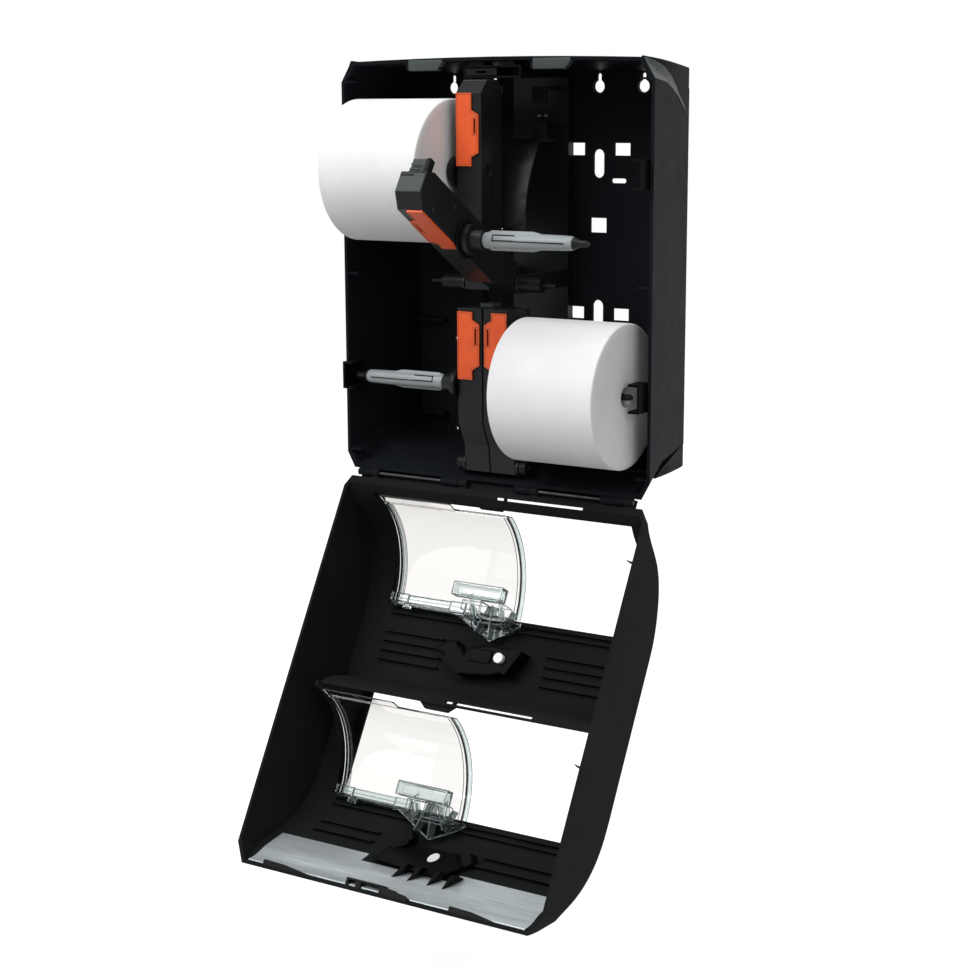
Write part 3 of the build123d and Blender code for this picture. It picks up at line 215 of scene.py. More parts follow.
def clear_plastic(name, tint, roughness):
    """Clear moulded plastic with faint drag lines in its polish."""
    finish = Finish(name)
    finish.set(Base_Color=(*tint, 1), IOR=1.46, Transmission_Weight=1.0, Specular_IOR_Level=0.5)
    finish.roughness(finish.noise(35.0, 4.0), roughness, roughness + 0.03)
    finish.bump(finish.noise(90.0, where=finish.spread((1.0, 0.25, 1.0))), 0.04, 0.0004)
    return finish.material


def brushed_lining():
    finish = Finish("brushed_lining")
    finish.set(Metallic=0.45, Anisotropic=0.5, Specular_IOR_Level=0.5)
    lines = finish.noise(900.0, 4.0, where=finish.spread((0.03, 1.0, 1.0)), rough=0.65)
    finish.colour(lines, (0.44, 0.49, 0.50), (0.62, 0.67, 0.68))
    finish.roughness(lines, 0.24, 0.5)
    finish.bump(lines, 0.35)
    return finish.material


def pin_white():
    finish = Finish("pin_white")
    finish.set(IOR=1.48, Specular_IOR_Level=0.55)
    finish.colour(finish.noise(90.0), (0.80, 0.80, 0.79), (0.88, 0.88, 0.87))
    finish.roughness(finish.noise(220.0, 2.0), 0.26, 0.4)
    return finish.material


def zinc_pin():
    finish = Finish("zinc_pin")
    finish.set(Metallic=1.0)
    drawn = finish.spread((0.05, 1, 1))
    finish.colour(finish.noise(150.0, 4.0), (0.030, 0.031, 0.034), (0.055, 0.056, 0.060))
    finish.roughness(finish.noise(500.0, where=drawn), 0.22, 0.42)
    finish.bump(finish.noise(700.0, where=drawn), 0.15)
    return finish.material


def tissue_paper():
    """White tissue: soft fibres, faint quilting and a little sheen."""
    finish = Finish("tissue_paper")
    finish.set(Specular_IOR_Level=0.2, Sheen_Weight=0.25, Sheen_Roughness=0.6)
    finish.colour(finish.noise(30.0, 4.0), (0.86, 0.875, 0.875), (0.91, 0.92, 0.92))
    finish.roughness(finish.noise(300.0, 2.0), 0.85, 0.97)
    fibres = finish.bump(finish.noise(1400.0, 5.0, rough=0.7), 0.28, 0.00025)
    finish.bump(finish.pebbles(420.0), 0.10, 0.0003, over=fibres)
    return finish.material


# Each black: name, darker and lighter colour, roughness, grain and gloss
BLACKS = {
    "shell": ("shell_black", (0.0072, 0.0084, 0.0104), (0.0106, 0.0121, 0.0146), 0.44, 2600.0, 0.02),
    "arm": ("arm_black", (0.0082, 0.0090, 0.0098), (0.0122, 0.0132, 0.0142), 0.32, 3200.0, 0.16),
    "cover": ("cover_black", (0.0100, 0.0112, 0.0118), (0.0150, 0.0165, 0.0172), 0.46, 2600.0, 0.01),
    # A lighter copy of the black plastic: painted highlight for faces that catch the light from above
    "facet": ("facet_painted_highlight", (0.052, 0.060, 0.062), (0.070, 0.080, 0.081), 0.34, 2600.0, 0.15),
    # A lighter copy of the arms' black: painted highlight for the top-lit faces of the upper arms' heads
    "head": ("head_painted_highlight", (0.045, 0.054, 0.055), (0.060, 0.070, 0.070), 0.36, 3200.0, 0.2),
    "deep": ("deep_black", (0.0040, 0.0042, 0.0048), (0.0070, 0.0073, 0.0082), 0.42, 2200.0, 0.12),
    "jet": ("jet_black", (0.0022, 0.0023, 0.0026), (0.0040, 0.0042, 0.0046), 0.46, 2200.0, 0.05),
    "tab": ("tab_grey", (0.040, 0.047, 0.049), (0.055, 0.063, 0.065), 0.40, 2600.0, 0.2),
}

finishes = {name: moulded_black(*look) for name, look in BLACKS.items()}
finishes["spindle"] = spindle_grey()
finishes["plate"] = plate_orange()
finishes["border"] = plate_border()
finishes["door"] = clear_plastic("door_clear", (0.86, 0.845, 0.825), 0.015)
finishes["carriage"] = clear_plastic("carriage_clear", (0.66, 0.735, 0.735), 0.03)
# Painted shade and reflection for the clear doors' edges and the carriage's ribs
finishes["rim"] = edge_clear("door_rim", (0.010, 0.012, 0.012), (0.022, 0.026, 0.026), 0.06)
finishes["rib"] = edge_clear("carriage_rib", (0.20, 0.26, 0.26), (0.42, 0.49, 0.49), 0.75)
finishes["lining"] = brushed_lining()
finishes["pin"] = pin_white()
finishes["zinc"] = zinc_pin()
finishes["paper"] = tissue_paper()

# The finish of every node whose name ends so; all others have the arms' black
FINISH_BY_ENDING = {
    "housing_shell": "shell",
    "cover_shell": "cover",
    "cover_lining": "lining",
    "cover_catch": "deep",
    "lock_bolt": "deep",
    "lock_case": "jet",
    "_hinge_pin": "zinc",
    "_stop_pin": "pin",
    "_door_panel": "door",
    "_door_rail": "carriage",
    "_door_carriage": "carriage",
    "_door_stop": "deep",
    "_locating_tab": "deep",
    "_pivot_shaft": "deep",
    "_tip_bracket": "jet",
    "_flange": "jet",
    "_arm_plate": "plate",
    "_release_tab": "tab",
    "_spindle_barrel": "spindle",
    "_roll": "paper",
}

# How far the moulded edges of each kind of node are rounded, in metres
EDGE_ROUNDING = {
    "housing_shell": 0.0005,
    "cover_shell": 0.0005,
    "spine_frame": 0.0005,
    "lock_case": 0.0005,
    "cover_catch": 0.0005,
    "_arm": 0.0007,
    "_release_tab": 0.0006,
    "_spindle_core": 0.0006,
    "_flange": 0.0008,
    "_tip_bracket": 0.0004,
}


def by_ending(name, values, otherwise=None):
    for ending, value in values.items():
        if name.endswith(ending):
            return value
    return otherwise


def soften_edges(node, width):
    """Rounds the moulded edges of a node; its own mesh stays as it is."""
    weld = node.modifiers.new("join_facets", "WELD")
    weld.merge_threshold = MERGE_REACH
    bevel = node.modifiers.new("moulded_edges", "BEVEL")
    bevel.width = width
    bevel.segments = 2
    bevel.limit_method = "ANGLE"
    bevel.angle_limit = math.radians(32)
    bevel.use_clamp_overlap = True
    bevel.harden_normals = True


for name, node in nodes.items():
    node.data.materials.clear()
    node.data.materials.append(finishes[by_ending(name, FINISH_BY_ENDING, otherwise="arm")])
    for face in node.data.polygons:
        face.material_index = 0
    rounding = by_ending(name, EDGE_ROUNDING)
    if rounding:
        soften_edges(node, rounding)


# Making pieces
def point(x, y, z):
    return Vector((x * mm, y * mm, z * mm))


def deselect_all():
    if bpy.context.object and bpy.context.object.mode != "OBJECT":
        bpy.ops.object.mode_set(mode="OBJECT")
    bpy.ops.object.select_all(action="DESELECT")


def take_up(piece):
    """Makes one piece the only one selected, and the active one."""
    deselect_all()
    piece.select_set(True)
    bpy.context.view_layer.objects.active = piece


def take_new(name):
    """Names the piece that an operator has just made."""
    piece = bpy.context.active_object
    piece.name = piece.data.name = name
    return piece


def settle(piece):
    """Puts a piece's place and turn into its mesh."""
    take_up(piece)
    bpy.ops.object.transform_apply(location=True, rotation=True, scale=True)


def start_editing(piece):
    """Opens a piece for editing with all of it selected."""
    take_up(piece)
    bpy.ops.object.mode_set(mode="EDIT")
    bpy.ops.mesh.select_all(action="SELECT")


def done_editing():
    bpy.ops.object.mode_set(mode="OBJECT")


def face_outwards():
    """Points all faces of the piece being edited outwards, and stops editing."""
    bpy.ops.mesh.select_all(action="SELECT")
    bpy.ops.mesh.normals_make_consistent(inside=False)
    done_editing()


def pick_faces(piece, wanted):
    """Opens a piece for editing with only the faces selected that pass a test."""
    start_editing(piece)
    bpy.ops.mesh.select_mode(type="FACE")
    bpy.ops.mesh.select_all(action="DESELECT")
    done_editing()
    for face in piece.data.polygons:
        face.select = wanted(face)
    bpy.ops.object.mode_set(mode="EDIT")


def pick_facing(piece, direction, least=0.9):
    """Opens a piece for editing with only the faces selected that look one way."""
    direction = Vector(direction).normalized()
    pick_faces(piece, lambda face: face.normal.dot(direction) > least)


def pick_open_edges():
    bpy.ops.mesh.select_all(action="DESELECT")
    bpy.ops.mesh.select_mode(type="EDGE")
    bpy.ops.mesh.select_non_manifold()


def block(name, low, high):
    """A block between two corners in millimetres."""
    deselect_all()
    low, high = point(*low), point(*high)
    bpy.ops.mesh.primitive_cube_add(size=1.0, location=(low + high) / 2)
    piece = take_new(name)
    piece.scale = high - low
    settle(piece)
    return piece


def slice_off(piece, place, outward):
    """Cuts away what lies beyond a plane, and closes the cut."""
    start_editing(piece)
    bpy.ops.mesh.bisect(plane_co=point(*place), plane_no=outward, use_fill=True, clear_outer=True)
    done_editing()


def sink(piece, direction, margin, depth):
    """Sinks a panel into the faces that look one way."""
    pick_facing(piece, direction)
    bpy.ops.mesh.inset(thickness=margin * mm, depth=-depth * mm)
    done_editing()


def round_edges(piece, width, segments=2):
    take_up(piece)
    bevel = piece.modifiers.new("rounded", "BEVEL")
    bevel.width = width * mm
    bevel.segments = segments
    bevel.limit_method = "ANGLE"
    bevel.angle_limit = math.radians(30)
    bpy.ops.object.modifier_apply(modifier=bevel.name)


def smooth(degrees):
    """Shades the active piece smooth, up to an angle."""
    bpy.ops.object.shade_smooth_by_angle(angle=math.radians(degrees))


def turned_piece(name, centre, stations, corners=40):
    """A piece turned about a line along X, from pairs of place along X and radius."""
    deselect_all()
    first_x, first_radius = stations[0]
    bpy.ops.mesh.primitive_circle_add(
        vertices=corners,
        radius=first_radius * mm,
        fill_type="NGON",
        location=point(first_x, *centre),
        rotation=(0, math.pi / 2, 0),
    )
    piece = take_new(name)
    settle(piece)
    start_editing(piece)
    before_x, before_radius = first_x, first_radius
    for x, radius in stations[1:]:
        bpy.ops.mesh.extrude_region_move(TRANSFORM_OT_translate={"value": ((x - before_x) * mm, 0, 0)})
        ratio = radius / before_radius
        bpy.ops.transform.resize(value=(1, ratio, ratio), center_override=point(x, *centre))
        before_x, before_radius = x, radius
    face_outwards()
    smooth(35)
    return piece


def open_bore(piece):
    """Takes the end faces off a turned piece and runs a wall between the two openings."""
    pick_faces(piece, lambda face: len(face.vertices) > 4)
    bpy.ops.mesh.delete(type="ONLY_FACE")
    pick_open_edges()
    bpy.ops.mesh.bridge_edge_loops()
    face_outwards()


def join_pieces(name, parts):
    deselect_all()
    for part in parts:
        part.select_set(True)
    bpy.context.view_layer.objects.active = parts[0]
    bpy.ops.object.join()
    return take_new(name)


def turn_about(piece, y, z, degrees):
    """Turns a piece about a line along X."""
    place = point(0, y, z)
    piece.matrix_world = (
        Matrix.Translation(place)
        @ Matrix.Rotation(math.radians(degrees), 4, "X")
        @ Matrix.Translation(-place)
        @ piece.matrix_world
    )
    settle(piece)


def stand_at(piece, x, z):
    """Moves a piece turned about X to a place on the back wall, where it points to the front."""
    piece.matrix_world = Matrix.Translation(point(x, 0, z)) @ Matrix.Rotation(math.radians(-90), 4, "Z")
    settle(piece)


def mirror_over(piece):
    """Moves a piece to the same place on the other side of the middle."""
    take_up(piece)
    piece.scale = (-1, 1, 1)
    settle(piece)
    start_editing(piece)
    face_outwards()


def on_cover(x, up, out):
    """A place on the closed cover: up from the hinge, and out from the rim."""
    return (x, HINGE_Y - COVER_GAP - out, HINGE_Z + up)


def cover_block(name, across, up, out):
    """A block on the closed cover, from pairs of place across it, up it and out from the rim."""
    return block(name, on_cover(across[0], up[0], out[1]), on_cover(across[1], up[1], out[0]))


def let_down(piece):
    """From the closed cover, where a piece is drawn, to the cover let down."""
    turn_about(piece, HINGE_Y, HINGE_Z, COVER_OPEN)


def merged_copy(node_name, name, on_closed_cover=False):
    """A copy of a CAD node's mesh with its loose triangles merged."""
    piece = bpy.data.objects.new(name, nodes[node_name].data.copy())
    bpy.context.scene.collection.objects.link(piece)
    if on_closed_cover:
        turn_about(piece, HINGE_Y, HINGE_Z, -COVER_OPEN)
    start_editing(piece)
    bpy.ops.mesh.remove_doubles(threshold=MERGE_REACH)
    face_outwards()
    return piece


def dress(piece, finish, body):
    piece.data.materials.clear()
    piece.data.materials.append(finishes[finish])
    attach(piece, body)


def fit_to_cover(piece, finish, body):
    let_down(piece)
    dress(piece, finish, body)


def place_on_arm(piece, arm):
    """A piece drawn on a right arm that stands upright is put on the arm it is for."""
    if arm.endswith("left"):
        mirror_over(piece)
    if arm == "upper_right":
        turn_about(piece, *UPPER_PIVOT, ARM_OPEN)


def fit_to_arm(piece, arm, finish, body):
    place_on_arm(piece, arm)
    dress(piece, finish, body)


# Spindle sleeves: a tapered grey sleeve with two broad wings, a sprung tongue and a seam; the tongue's slot
# and the seam groove are dark strips of painted shade
def spindle_sleeve(arm):
    y, z = SPINDLE_Y, SPINDLE_Z[arm.split("_")[0]]
    sleeve_turn, tongue_turn = (-54.0, -82.0) if arm == "upper_right" else (4.0, -24.0)
    profile = [
        (43.7, 3.4), (43.7, 5.6), (44.4, 6.3), (46.0, 6.6), (84.0, 6.4),
        (116.0, 5.9), (122.4, 5.6), (123.9, 4.9), (124.1, 3.4),
    ]
    parts = [turned_piece(f"{arm}_sleeve", (y, z), profile, corners=48)]
    for number in range(2):
        wing = block(f"{arm}_wing_{number}", (44.6, y - 3.0, z), (99.0, y + 3.0, z + 8.0))
        slice_off(wing, (44.6, y, z + 5.4), (-0.42, 0, 0.91))
        slice_off(wing, (88.0, y, z + 8.0), (0.24, 0, 0.97))
        slice_off(wing, (60.0, y - 3.0, z + 4.4), (0, -0.86, 0.5))
        slice_off(wing, (60.0, y + 3.0, z + 4.4), (0, 0.86, 0.5))
        round_edges(wing, 0.6)
        turn_about(wing, y, z, 180.0 * number)
        parts.append(wing)
    sleeve = join_pieces(f"{arm}_sleeve", parts)
    turn_about(sleeve, y, z, sleeve_turn)
    place_on_arm(sleeve, arm)
    dress(sleeve, "spindle", f"{arm}_spindle")
    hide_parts(f"{arm}_spindle_barrel")
    # Dark strips laid on the sleeve: painted shade for the tongue's slot and the seam groove
    slot_shade_strips = [
        block(f"{arm}_tongue_side", (54.0, y - 6.62, z + 1.9), (73.0, y - 5.4, z + 2.8)),
        block(f"{arm}_tongue_foot", (54.0, y - 6.62, z - 2.8), (73.0, y - 5.4, z - 1.9)),
        block(f"{arm}_tongue_root", (53.2, y - 6.62, z - 2.8), (54.3, y - 5.4, z + 2.8)),
        block(f"{arm}_seam", (73.0, y - 6.55, z - 2.9), (118.0, y - 5.0, z - 2.3)),
    ]
    for cut in slot_shade_strips:
        round_edges(cut, 0.15)
    slot_shade_strips = join_pieces(f"{arm}_tongue_slot_painted_shade", slot_shade_strips)
    turn_about(slot_shade_strips, y, z, tongue_turn)
    fit_to_arm(slot_shade_strips, arm, "deep", f"{arm}_spindle")


# Rolls: wound paper with soft shoulders and faint turns at each end
def wound_roll(arm):
    near, far = 34.1, 131.9
    outer_radius = 60.25
    shoulder = 1.6
    shoulder_start = 0.3
    turns_from, turns_to, turn_step = 12.5, 54.0, 2.6
    end = [(0.9, 8.4), (0.25, 10.0)]
    radius = turns_from
    while radius < turns_to:
        end += [(0.38, radius), (0.16, radius + 0.6)]
        radius += turn_step
    for step in range(7):
        angle = math.pi / 2 * step / 6
        in_from_end = shoulder_start + (shoulder - shoulder_start) * (1 - math.cos(angle))
        end.append((in_from_end, outer_radius - shoulder * (1 - math.sin(angle))))
    stations = [(near + x, r) for x, r in end] + [(far - x, r) for x, r in reversed(end)]
    roll = turned_piece(f"{arm}_wound_roll", (SPINDLE_Y, SPINDLE_Z[arm.split("_")[0]]), stations, corners=160)
    open_bore(roll)
    if arm.endswith("left"):
        mirror_over(roll)
    smooth(35)
    dress(roll, "paper", f"{arm}_spindle")
    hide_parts(f"{arm}_roll")


# Plates: a fine darker line runs round the face of each, just inside its edge
def bordered_plate(arm):
    lift, share = (4.0, 0.91) if arm.startswith("upper") else (8.2, 1.02)
    edge_width, line_width, line_depth = 0.9, 0.4, 0.12
    outward = Vector((0, -1, 0))
    plate = merged_copy(f"{arm}_arm_plate", f"{arm}_bordered_plate")
    if arm == "upper_right":
        outward = Matrix.Rotation(math.radians(ARM_OPEN), 4, "X").to_3x3() @ outward
        turn_about(plate, *UPPER_PIVOT, -ARM_OPEN)
    heights = [vertex.co.z for vertex in plate.data.vertices]
    middle = (max(heights) + min(heights)) / 2
    for vertex in plate.data.vertices:
        vertex.co.z = middle + lift * mm + (vertex.co.z - middle) * share
    if arm == "upper_right":
        turn_about(plate, *UPPER_PIVOT, ARM_OPEN)
    dress(plate, "plate", f"{arm}_arm")
    plate.data.materials.append(finishes["border"])
    pick_facing(plate, outward, least=0.98)
    bpy.ops.mesh.inset(thickness=edge_width * mm, depth=0)
    plate.active_material_index = 1
    bpy.ops.object.material_slot_assign()
    bpy.ops.mesh.inset(thickness=line_width * mm, depth=-line_depth * mm)
    plate.active_material_index = 0
    bpy.ops.object.material_slot_assign()
    done_editing()
    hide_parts(f"{arm}_arm_plate")


# Arms: a grip and ridges at the release tab, two screws in the side, and a faced head. The upper arms' head
# faces, and a panel laid on the upper left arm's slope, are painted lighter as a painted highlight from the
# light above.
def arm_details(arm):
    upper = arm.startswith("upper")
    top = ARM_TOP[arm.split("_")[0]]
    grip = block(f"{arm}_tab_grip", (18.6, -88.8, top - 9.2), (22.6, -67.4, top - 2.2))
    sink(grip, (0, 0, 1), 1.0, 0.6)
    round_edges(grip, 0.6)
    fit_to_arm(grip, arm, "deep", f"{arm}_arm")
    ridges = []
    for number in range(4):
        y = -86.6 + number * 4.2
        ridge = block(f"{arm}_tab_ridge_{number}", (6.0, y, top - 2.6), (15.2, y + 1.5, top - 1.9))
        round_edges(ridge, 0.3)
        ridges.append(ridge)
    ridges = join_pieces(f"{arm}_tab_ridges", ridges)
    fit_to_arm(ridges, arm, "tab", f"{arm}_tab")
    screw_profile = [(24.4, 1.9), (24.75, 1.9), (24.95, 1.5), (24.95, 0.9), (24.6, 0.8), (24.6, 0.1)]
    screws = []
    for number, (y, down) in enumerate(((-101.5, 23.0), (-84.5, 50.0))):
        screws.append(turned_piece(f"{arm}_screw_{number}", (y, top - down), screw_profile, corners=24))
    screws = join_pieces(f"{arm}_screws", screws)
    fit_to_arm(screws, arm, "zinc", f"{arm}_arm")
    if upper:
        head = block(f"{arm}_head_face", (1.4, -98.4, top - 0.1), (23.8, -82.6, top + 0.35))
    else:
        head = block(f"{arm}_head_face", (0.9, -108.9, top - 11.0), (24.3, -97.0, top + 0.05))
    sink(head, (0, 0, 1), 0.9, 0.2)
    round_edges(head, 0.25)
    # On the upper arms the head face is painted lighter, a painted highlight
    fit_to_arm(head, arm, "head" if upper else "arm", f"{arm}_arm")
    if upper:
        # A thin dark strip on the head face: a painted shadow line by the tab's slot
        groove = block(f"{arm}_head_groove_painted_shadow", (1.6, -84.8, top + 0.1), (13.5, -83.4, top + 0.45))
        round_edges(groove, 0.08)
        fit_to_arm(groove, arm, "deep", f"{arm}_arm")
    if arm == "lower_left":
        cap = block(f"{arm}_tab_cap", (3.0, -88.0, top - 6.0), (15.5, -74.0, top + 2.6))
        sink(cap, (0, -1, 0), 0.9, 0.4)
        round_edges(cap, 0.6)
        fit_to_arm(cap, arm, "tab", f"{arm}_tab")
    if arm == "upper_left":
        # A thin panel on the slope, there only to carry the painted highlight
        slope = block(f"{arm}_slope_painted_highlight", (1.2, -107.6, top - 0.2), (24.0, -98.9, top + 0.3))
        turn_about(slope, -98.6, top, 46.0)
        round_edges(slope, 0.2)
        fit_to_arm(slope, arm, "head", f"{arm}_arm")


# Housing: full corners with a swept facet, a foot, keyhole rims, an apron at the hinge and small pegs
HOUSING_DEPTH = 95.0
BACK_HALF_WIDTH = 136.0
SIDE_FLARE = 16.0
TOP_CHAMFER_Z = 155.1
TOP_CHAMFER_RISE = 7.4
TOP_CHAMFER_SLOPE = 0.615
FOOT_CHAMFER_Z = -144.2
FOOT_CHAMFER_FALL = 18.3
FOOT_CHAMFER_SLOPE = 0.543


def side_surface(y, z):
    """How far out the housing's side stands, with its corner chamfers."""
    forward = -y / HOUSING_DEPTH
    over = max(0.0, z - (TOP_CHAMFER_Z + TOP_CHAMFER_RISE * forward)) * TOP_CHAMFER_SLOPE
    under = max(0.0, (FOOT_CHAMFER_Z - FOOT_CHAMFER_FALL * forward) - z) * FOOT_CHAMFER_SLOPE
    return BACK_HALF_WIDTH + SIDE_FLARE * forward - over - under


def loft(name, stations):
    """A closed piece run through outlines that all have as many points."""
    count = len(stations[0])
    steps = len(stations) - 1
    deselect_all()
    bpy.ops.mesh.primitive_grid_add(x_subdivisions=steps, y_subdivisions=count, size=1.0, location=(0, 0, 0))
    piece = take_new(name)
    for vertex in piece.data.vertices:
        along = round((vertex.co.x + 0.5) * steps)
        across = round((vertex.co.y + 0.5) * count) % count
        vertex.co = point(*stations[along][across])
    start_editing(piece)
    bpy.ops.mesh.remove_doubles(threshold=0.000002)
    bpy.ops.mesh.fill_holes(sides=0)
    face_outwards()
    smooth(25)
    return piece


def between(pairs, place):
    """The value at a place on a line run through pairs of place and value."""
    for (start, low), (end, high) in zip(pairs, pairs[1:]):
        if place <= end:
            return low + (high - low) * max(0.0, place - start) / (end - start)
    return pairs[-1][1]


def upper_corner(side):
    """The full corner of the housing's top, with a facet that runs back from the rim to a point, painted
    lighter as a painted highlight where it faces the light above.
    """
    front, run, steps = 94.6, 93.0, 40
    draw_in = 10.0
    facet_strips = 4
    facet_foot = (
        (1.5, 129.0), (7.0, 133.5), (13.7, 139.1), (33.1, 149.4), (50.4, 155.8), (65.9, 160.4), (95.0, 163.2),
    )
    facet_top = (
        (1.5, 129.2), (7.4, 134.2), (13.9, 141.2), (32.7, 152.6), (47.8, 164.2), (64.5, 172.4), (82.0, 177.2),
        (94.6, 179.6),
    )
    corners, facets = [], []
    for step in range(steps + 1):
        back = front - run * step / steps
        y, forward = -back, back / HOUSING_DEPTH
        full_width = BACK_HALF_WIDTH + SIDE_FLARE * forward
        out = full_width - draw_in * forward ** 4
        top = 172.75 + 7.75 * forward
        foot = TOP_CHAMFER_Z + TOP_CHAMFER_RISE * forward + (full_width - out) / TOP_CHAMFER_SLOPE
        foot = min(foot, top - 0.4)
        ease = min(1.0, (front - back) / 12.0)
        corners.append(
            [
                (side_surface(y, foot) - 1.2, y, foot),
                (side_surface(y, foot) + 0.05, y, foot),
                (out + 0.05, y, top - 1.2 * ease),
                (out - 0.4, y, top - 0.35 * ease),
                (out - 1.4, y, top + 0.02),
                (side_surface(y, top) - 1.0, y, top + 0.02),
                (side_surface(y, top) - 1.5, y, top - 1.0),
            ]
        )
        low = between(facet_foot, back)
        high = max(low + 0.05, min(between(facet_top, back), top - 0.8))
        outer, inner = [], []
        for strip in range(facet_strips + 1):
            z = low + (high - low) * strip / facet_strips
            x = max(side_surface(y, z), out)
            outer.append((x + 0.28, y, z))
            inner.append((x - 0.4, y, z))
        facets.append(outer + inner[::-1])
    corner = loft(f"upper_{side}_corner", corners)
    facet = loft(f"upper_{side}_corner_facet", facets)
    if side == "left":
        mirror_over(corner)
        mirror_over(facet)
    dress(corner, "shell", "housing")
    # The facet's lighter finish is a painted highlight
    dress(facet, "facet", "housing")


def lower_corner(side):
    """The full corner of the housing's foot, which ends where the floor slants down to the hinge."""
    front, run, steps = 64.0, 62.6, 20
    stations = []
    for step in range(steps + 1):
        back = front - run * step / steps
        y, forward = -back, back / HOUSING_DEPTH
        out = BACK_HALF_WIDTH + SIDE_FLARE * forward - 4.4 * (back / front) ** 2
        top = FOOT_CHAMFER_Z + 0.2 - FOOT_CHAMFER_FALL * forward
        foot = -164.4 + 0.5 * back / front
        stations.append(
            [
                (side_surface(y, top) - 0.9, y, top + 0.3),
                (side_surface(y, top) + 0.04, y, top),
                (out + 0.04, y, min(top - 0.3, top - 8.0 * forward)),
                (out + 0.04, y, foot + 1.2),
                (out - 0.9, y, foot),
                (100.0, y, foot),
                (100.0, y, foot + 4.0),
            ]
        )
    corner = loft(f"lower_{side}_corner", stations)
    if side == "left":
        mirror_over(corner)
    dress(corner, "shell", "housing")


def foot_tray():
    """The housing's foot, between its two corners, a little higher at the front."""
    tray = block("foot_tray", (-100.5, -64.0, -164.4), (100.5, -1.4, -158.6))
    for vertex in tray.data.vertices:
        if vertex.co.y < -60 * mm and vertex.co.z < -164 * mm:
            vertex.co.z += 0.5 * mm
    dress(tray, "shell", "housing")


def hinge_apron():
    """A strip under the housing's floor that hides what lies behind the hinge."""
    apron = block("hinge_apron", (-128.0, -88.8, -182.6), (128.0, -87.6, -172.5))
    round_edges(apron, 0.3)
    dress(apron, "shell", "housing")


def rim_pads():
    """Rounded pads under the top edge of the rim, clear of the closed cover, in the lighter facet finish as a
    painted highlight.
    """
    pads = []
    for number, (start, end) in enumerate(((-82.0, -47.0), (40.0, 76.0))):
        pad = block(f"rim_pad_{number}", (start, -95.3, 171.0), (end, -88.5, 180.6))
        slice_off(pad, (end, -92.0, 178.0), (0.80, 0, -0.6))
        round_edges(pad, 2.2, segments=4)
        smooth(50)
        pads.append(pad)
    # The pads' lighter finish is a painted highlight
    dress(join_pieces("rim_pads", pads), "facet", "housing")


def back_plates():
    """Ribbed plates behind the foot of the spine, and two pegs on the spine."""
    plates = []
    for number, (start, end) in enumerate(((-86.0, -62.0), (-60.0, -30.5))):
        plate = block(f"back_plate_{number}", (start, -5.4, -39.0), (end, -3.1, -19.0))
        sink(plate, (0, -1, 0), 2.0, 0.8)
        round_edges(plate, 0.5)
        plates.append(plate)
    dress(join_pieces("back_plates", plates), "shell", "housing")
    peg_profile = [(12.0, 1.1), (15.0, 1.1), (15.7, 0.8), (15.9, 0.3)]
    pegs = []
    for number, x in enumerate((-0.5, 6.0)):
        peg = turned_piece(f"spine_peg_{number}", (0.0, 0.0), peg_profile, corners=20)
        stand_at(peg, x, 133.5)
        pegs.append(peg)
    dress(join_pieces("spine_pegs", pegs), "spindle", "housing")


def keyhole_rim(number, x):
    """A ring round the lower part of a keyhole."""
    profile = [(3.0, 5.6), (4.0, 5.6), (4.2, 5.8), (4.2, 6.9), (4.0, 7.1), (3.0, 7.1)]
    ring = turned_piece(f"keyhole_rim_{number}", (0.0, 0.0), profile, corners=36)
    open_bore(ring)
    stand_at(ring, x, KEYHOLES_Z)
    slice_off(ring, (x, 0, KEYHOLES_Z + 5.0), (0, 0, 1))
    dress(ring, "deep", "housing")


def hinge_leaf():
    """The strip that closes the gap along the hinge, with a bead on its edge."""
    parts = []
    for number, across in enumerate(((-138.5, 0.2), (0.0, 138.5))):
        strip = cover_block(f"leaf_strip_{number}", across, (-3.2, 6.2), (3.2, 4.2))
        round_edges(strip, 0.3)
        bead = cover_block(f"leaf_bead_{number}", across, (-3.4, -2.2), (3.1, 4.8))
        round_edges(bead, 0.4)
        parts += [strip, bead]
    fit_to_cover(join_pieces("hinge_leaf", parts), "cover", "cover")


# Doors: rims along both edges, a strip and a bar along the head, and the clear carriage
def door_arc(name, level, across, radii, first=15.0, last=88.5):
    """A strip bent round with a door, from pairs of place along X and of radius."""
    x, y, z = on_cover(0, WINDOW_FOOT[level] + DOOR_CENTRE_UP, DOOR_CENTRE_OUT)
    strip = block(name, (across[0], y - 0.01, z - radii[1]), (across[1], y + 0.01, z - radii[0]))
    pick_faces(strip, lambda face: face.normal.y < 0.9)
    bpy.ops.mesh.delete(type="FACE")
    turn_about(strip, y, z, -first)
    start_editing(strip)
    bpy.ops.mesh.spin(
        steps=30,
        angle=math.radians(last - first),
        center=point(0, y, z),
        axis=(1, 0, 0),
        use_auto_merge=False,
    )
    bpy.ops.mesh.select_all(action="SELECT")
    bpy.ops.mesh.remove_doubles(threshold=0.000005)
    pick_open_edges()
    bpy.ops.mesh.edge_face_add()
    face_outwards()
    smooth(30)
    return strip


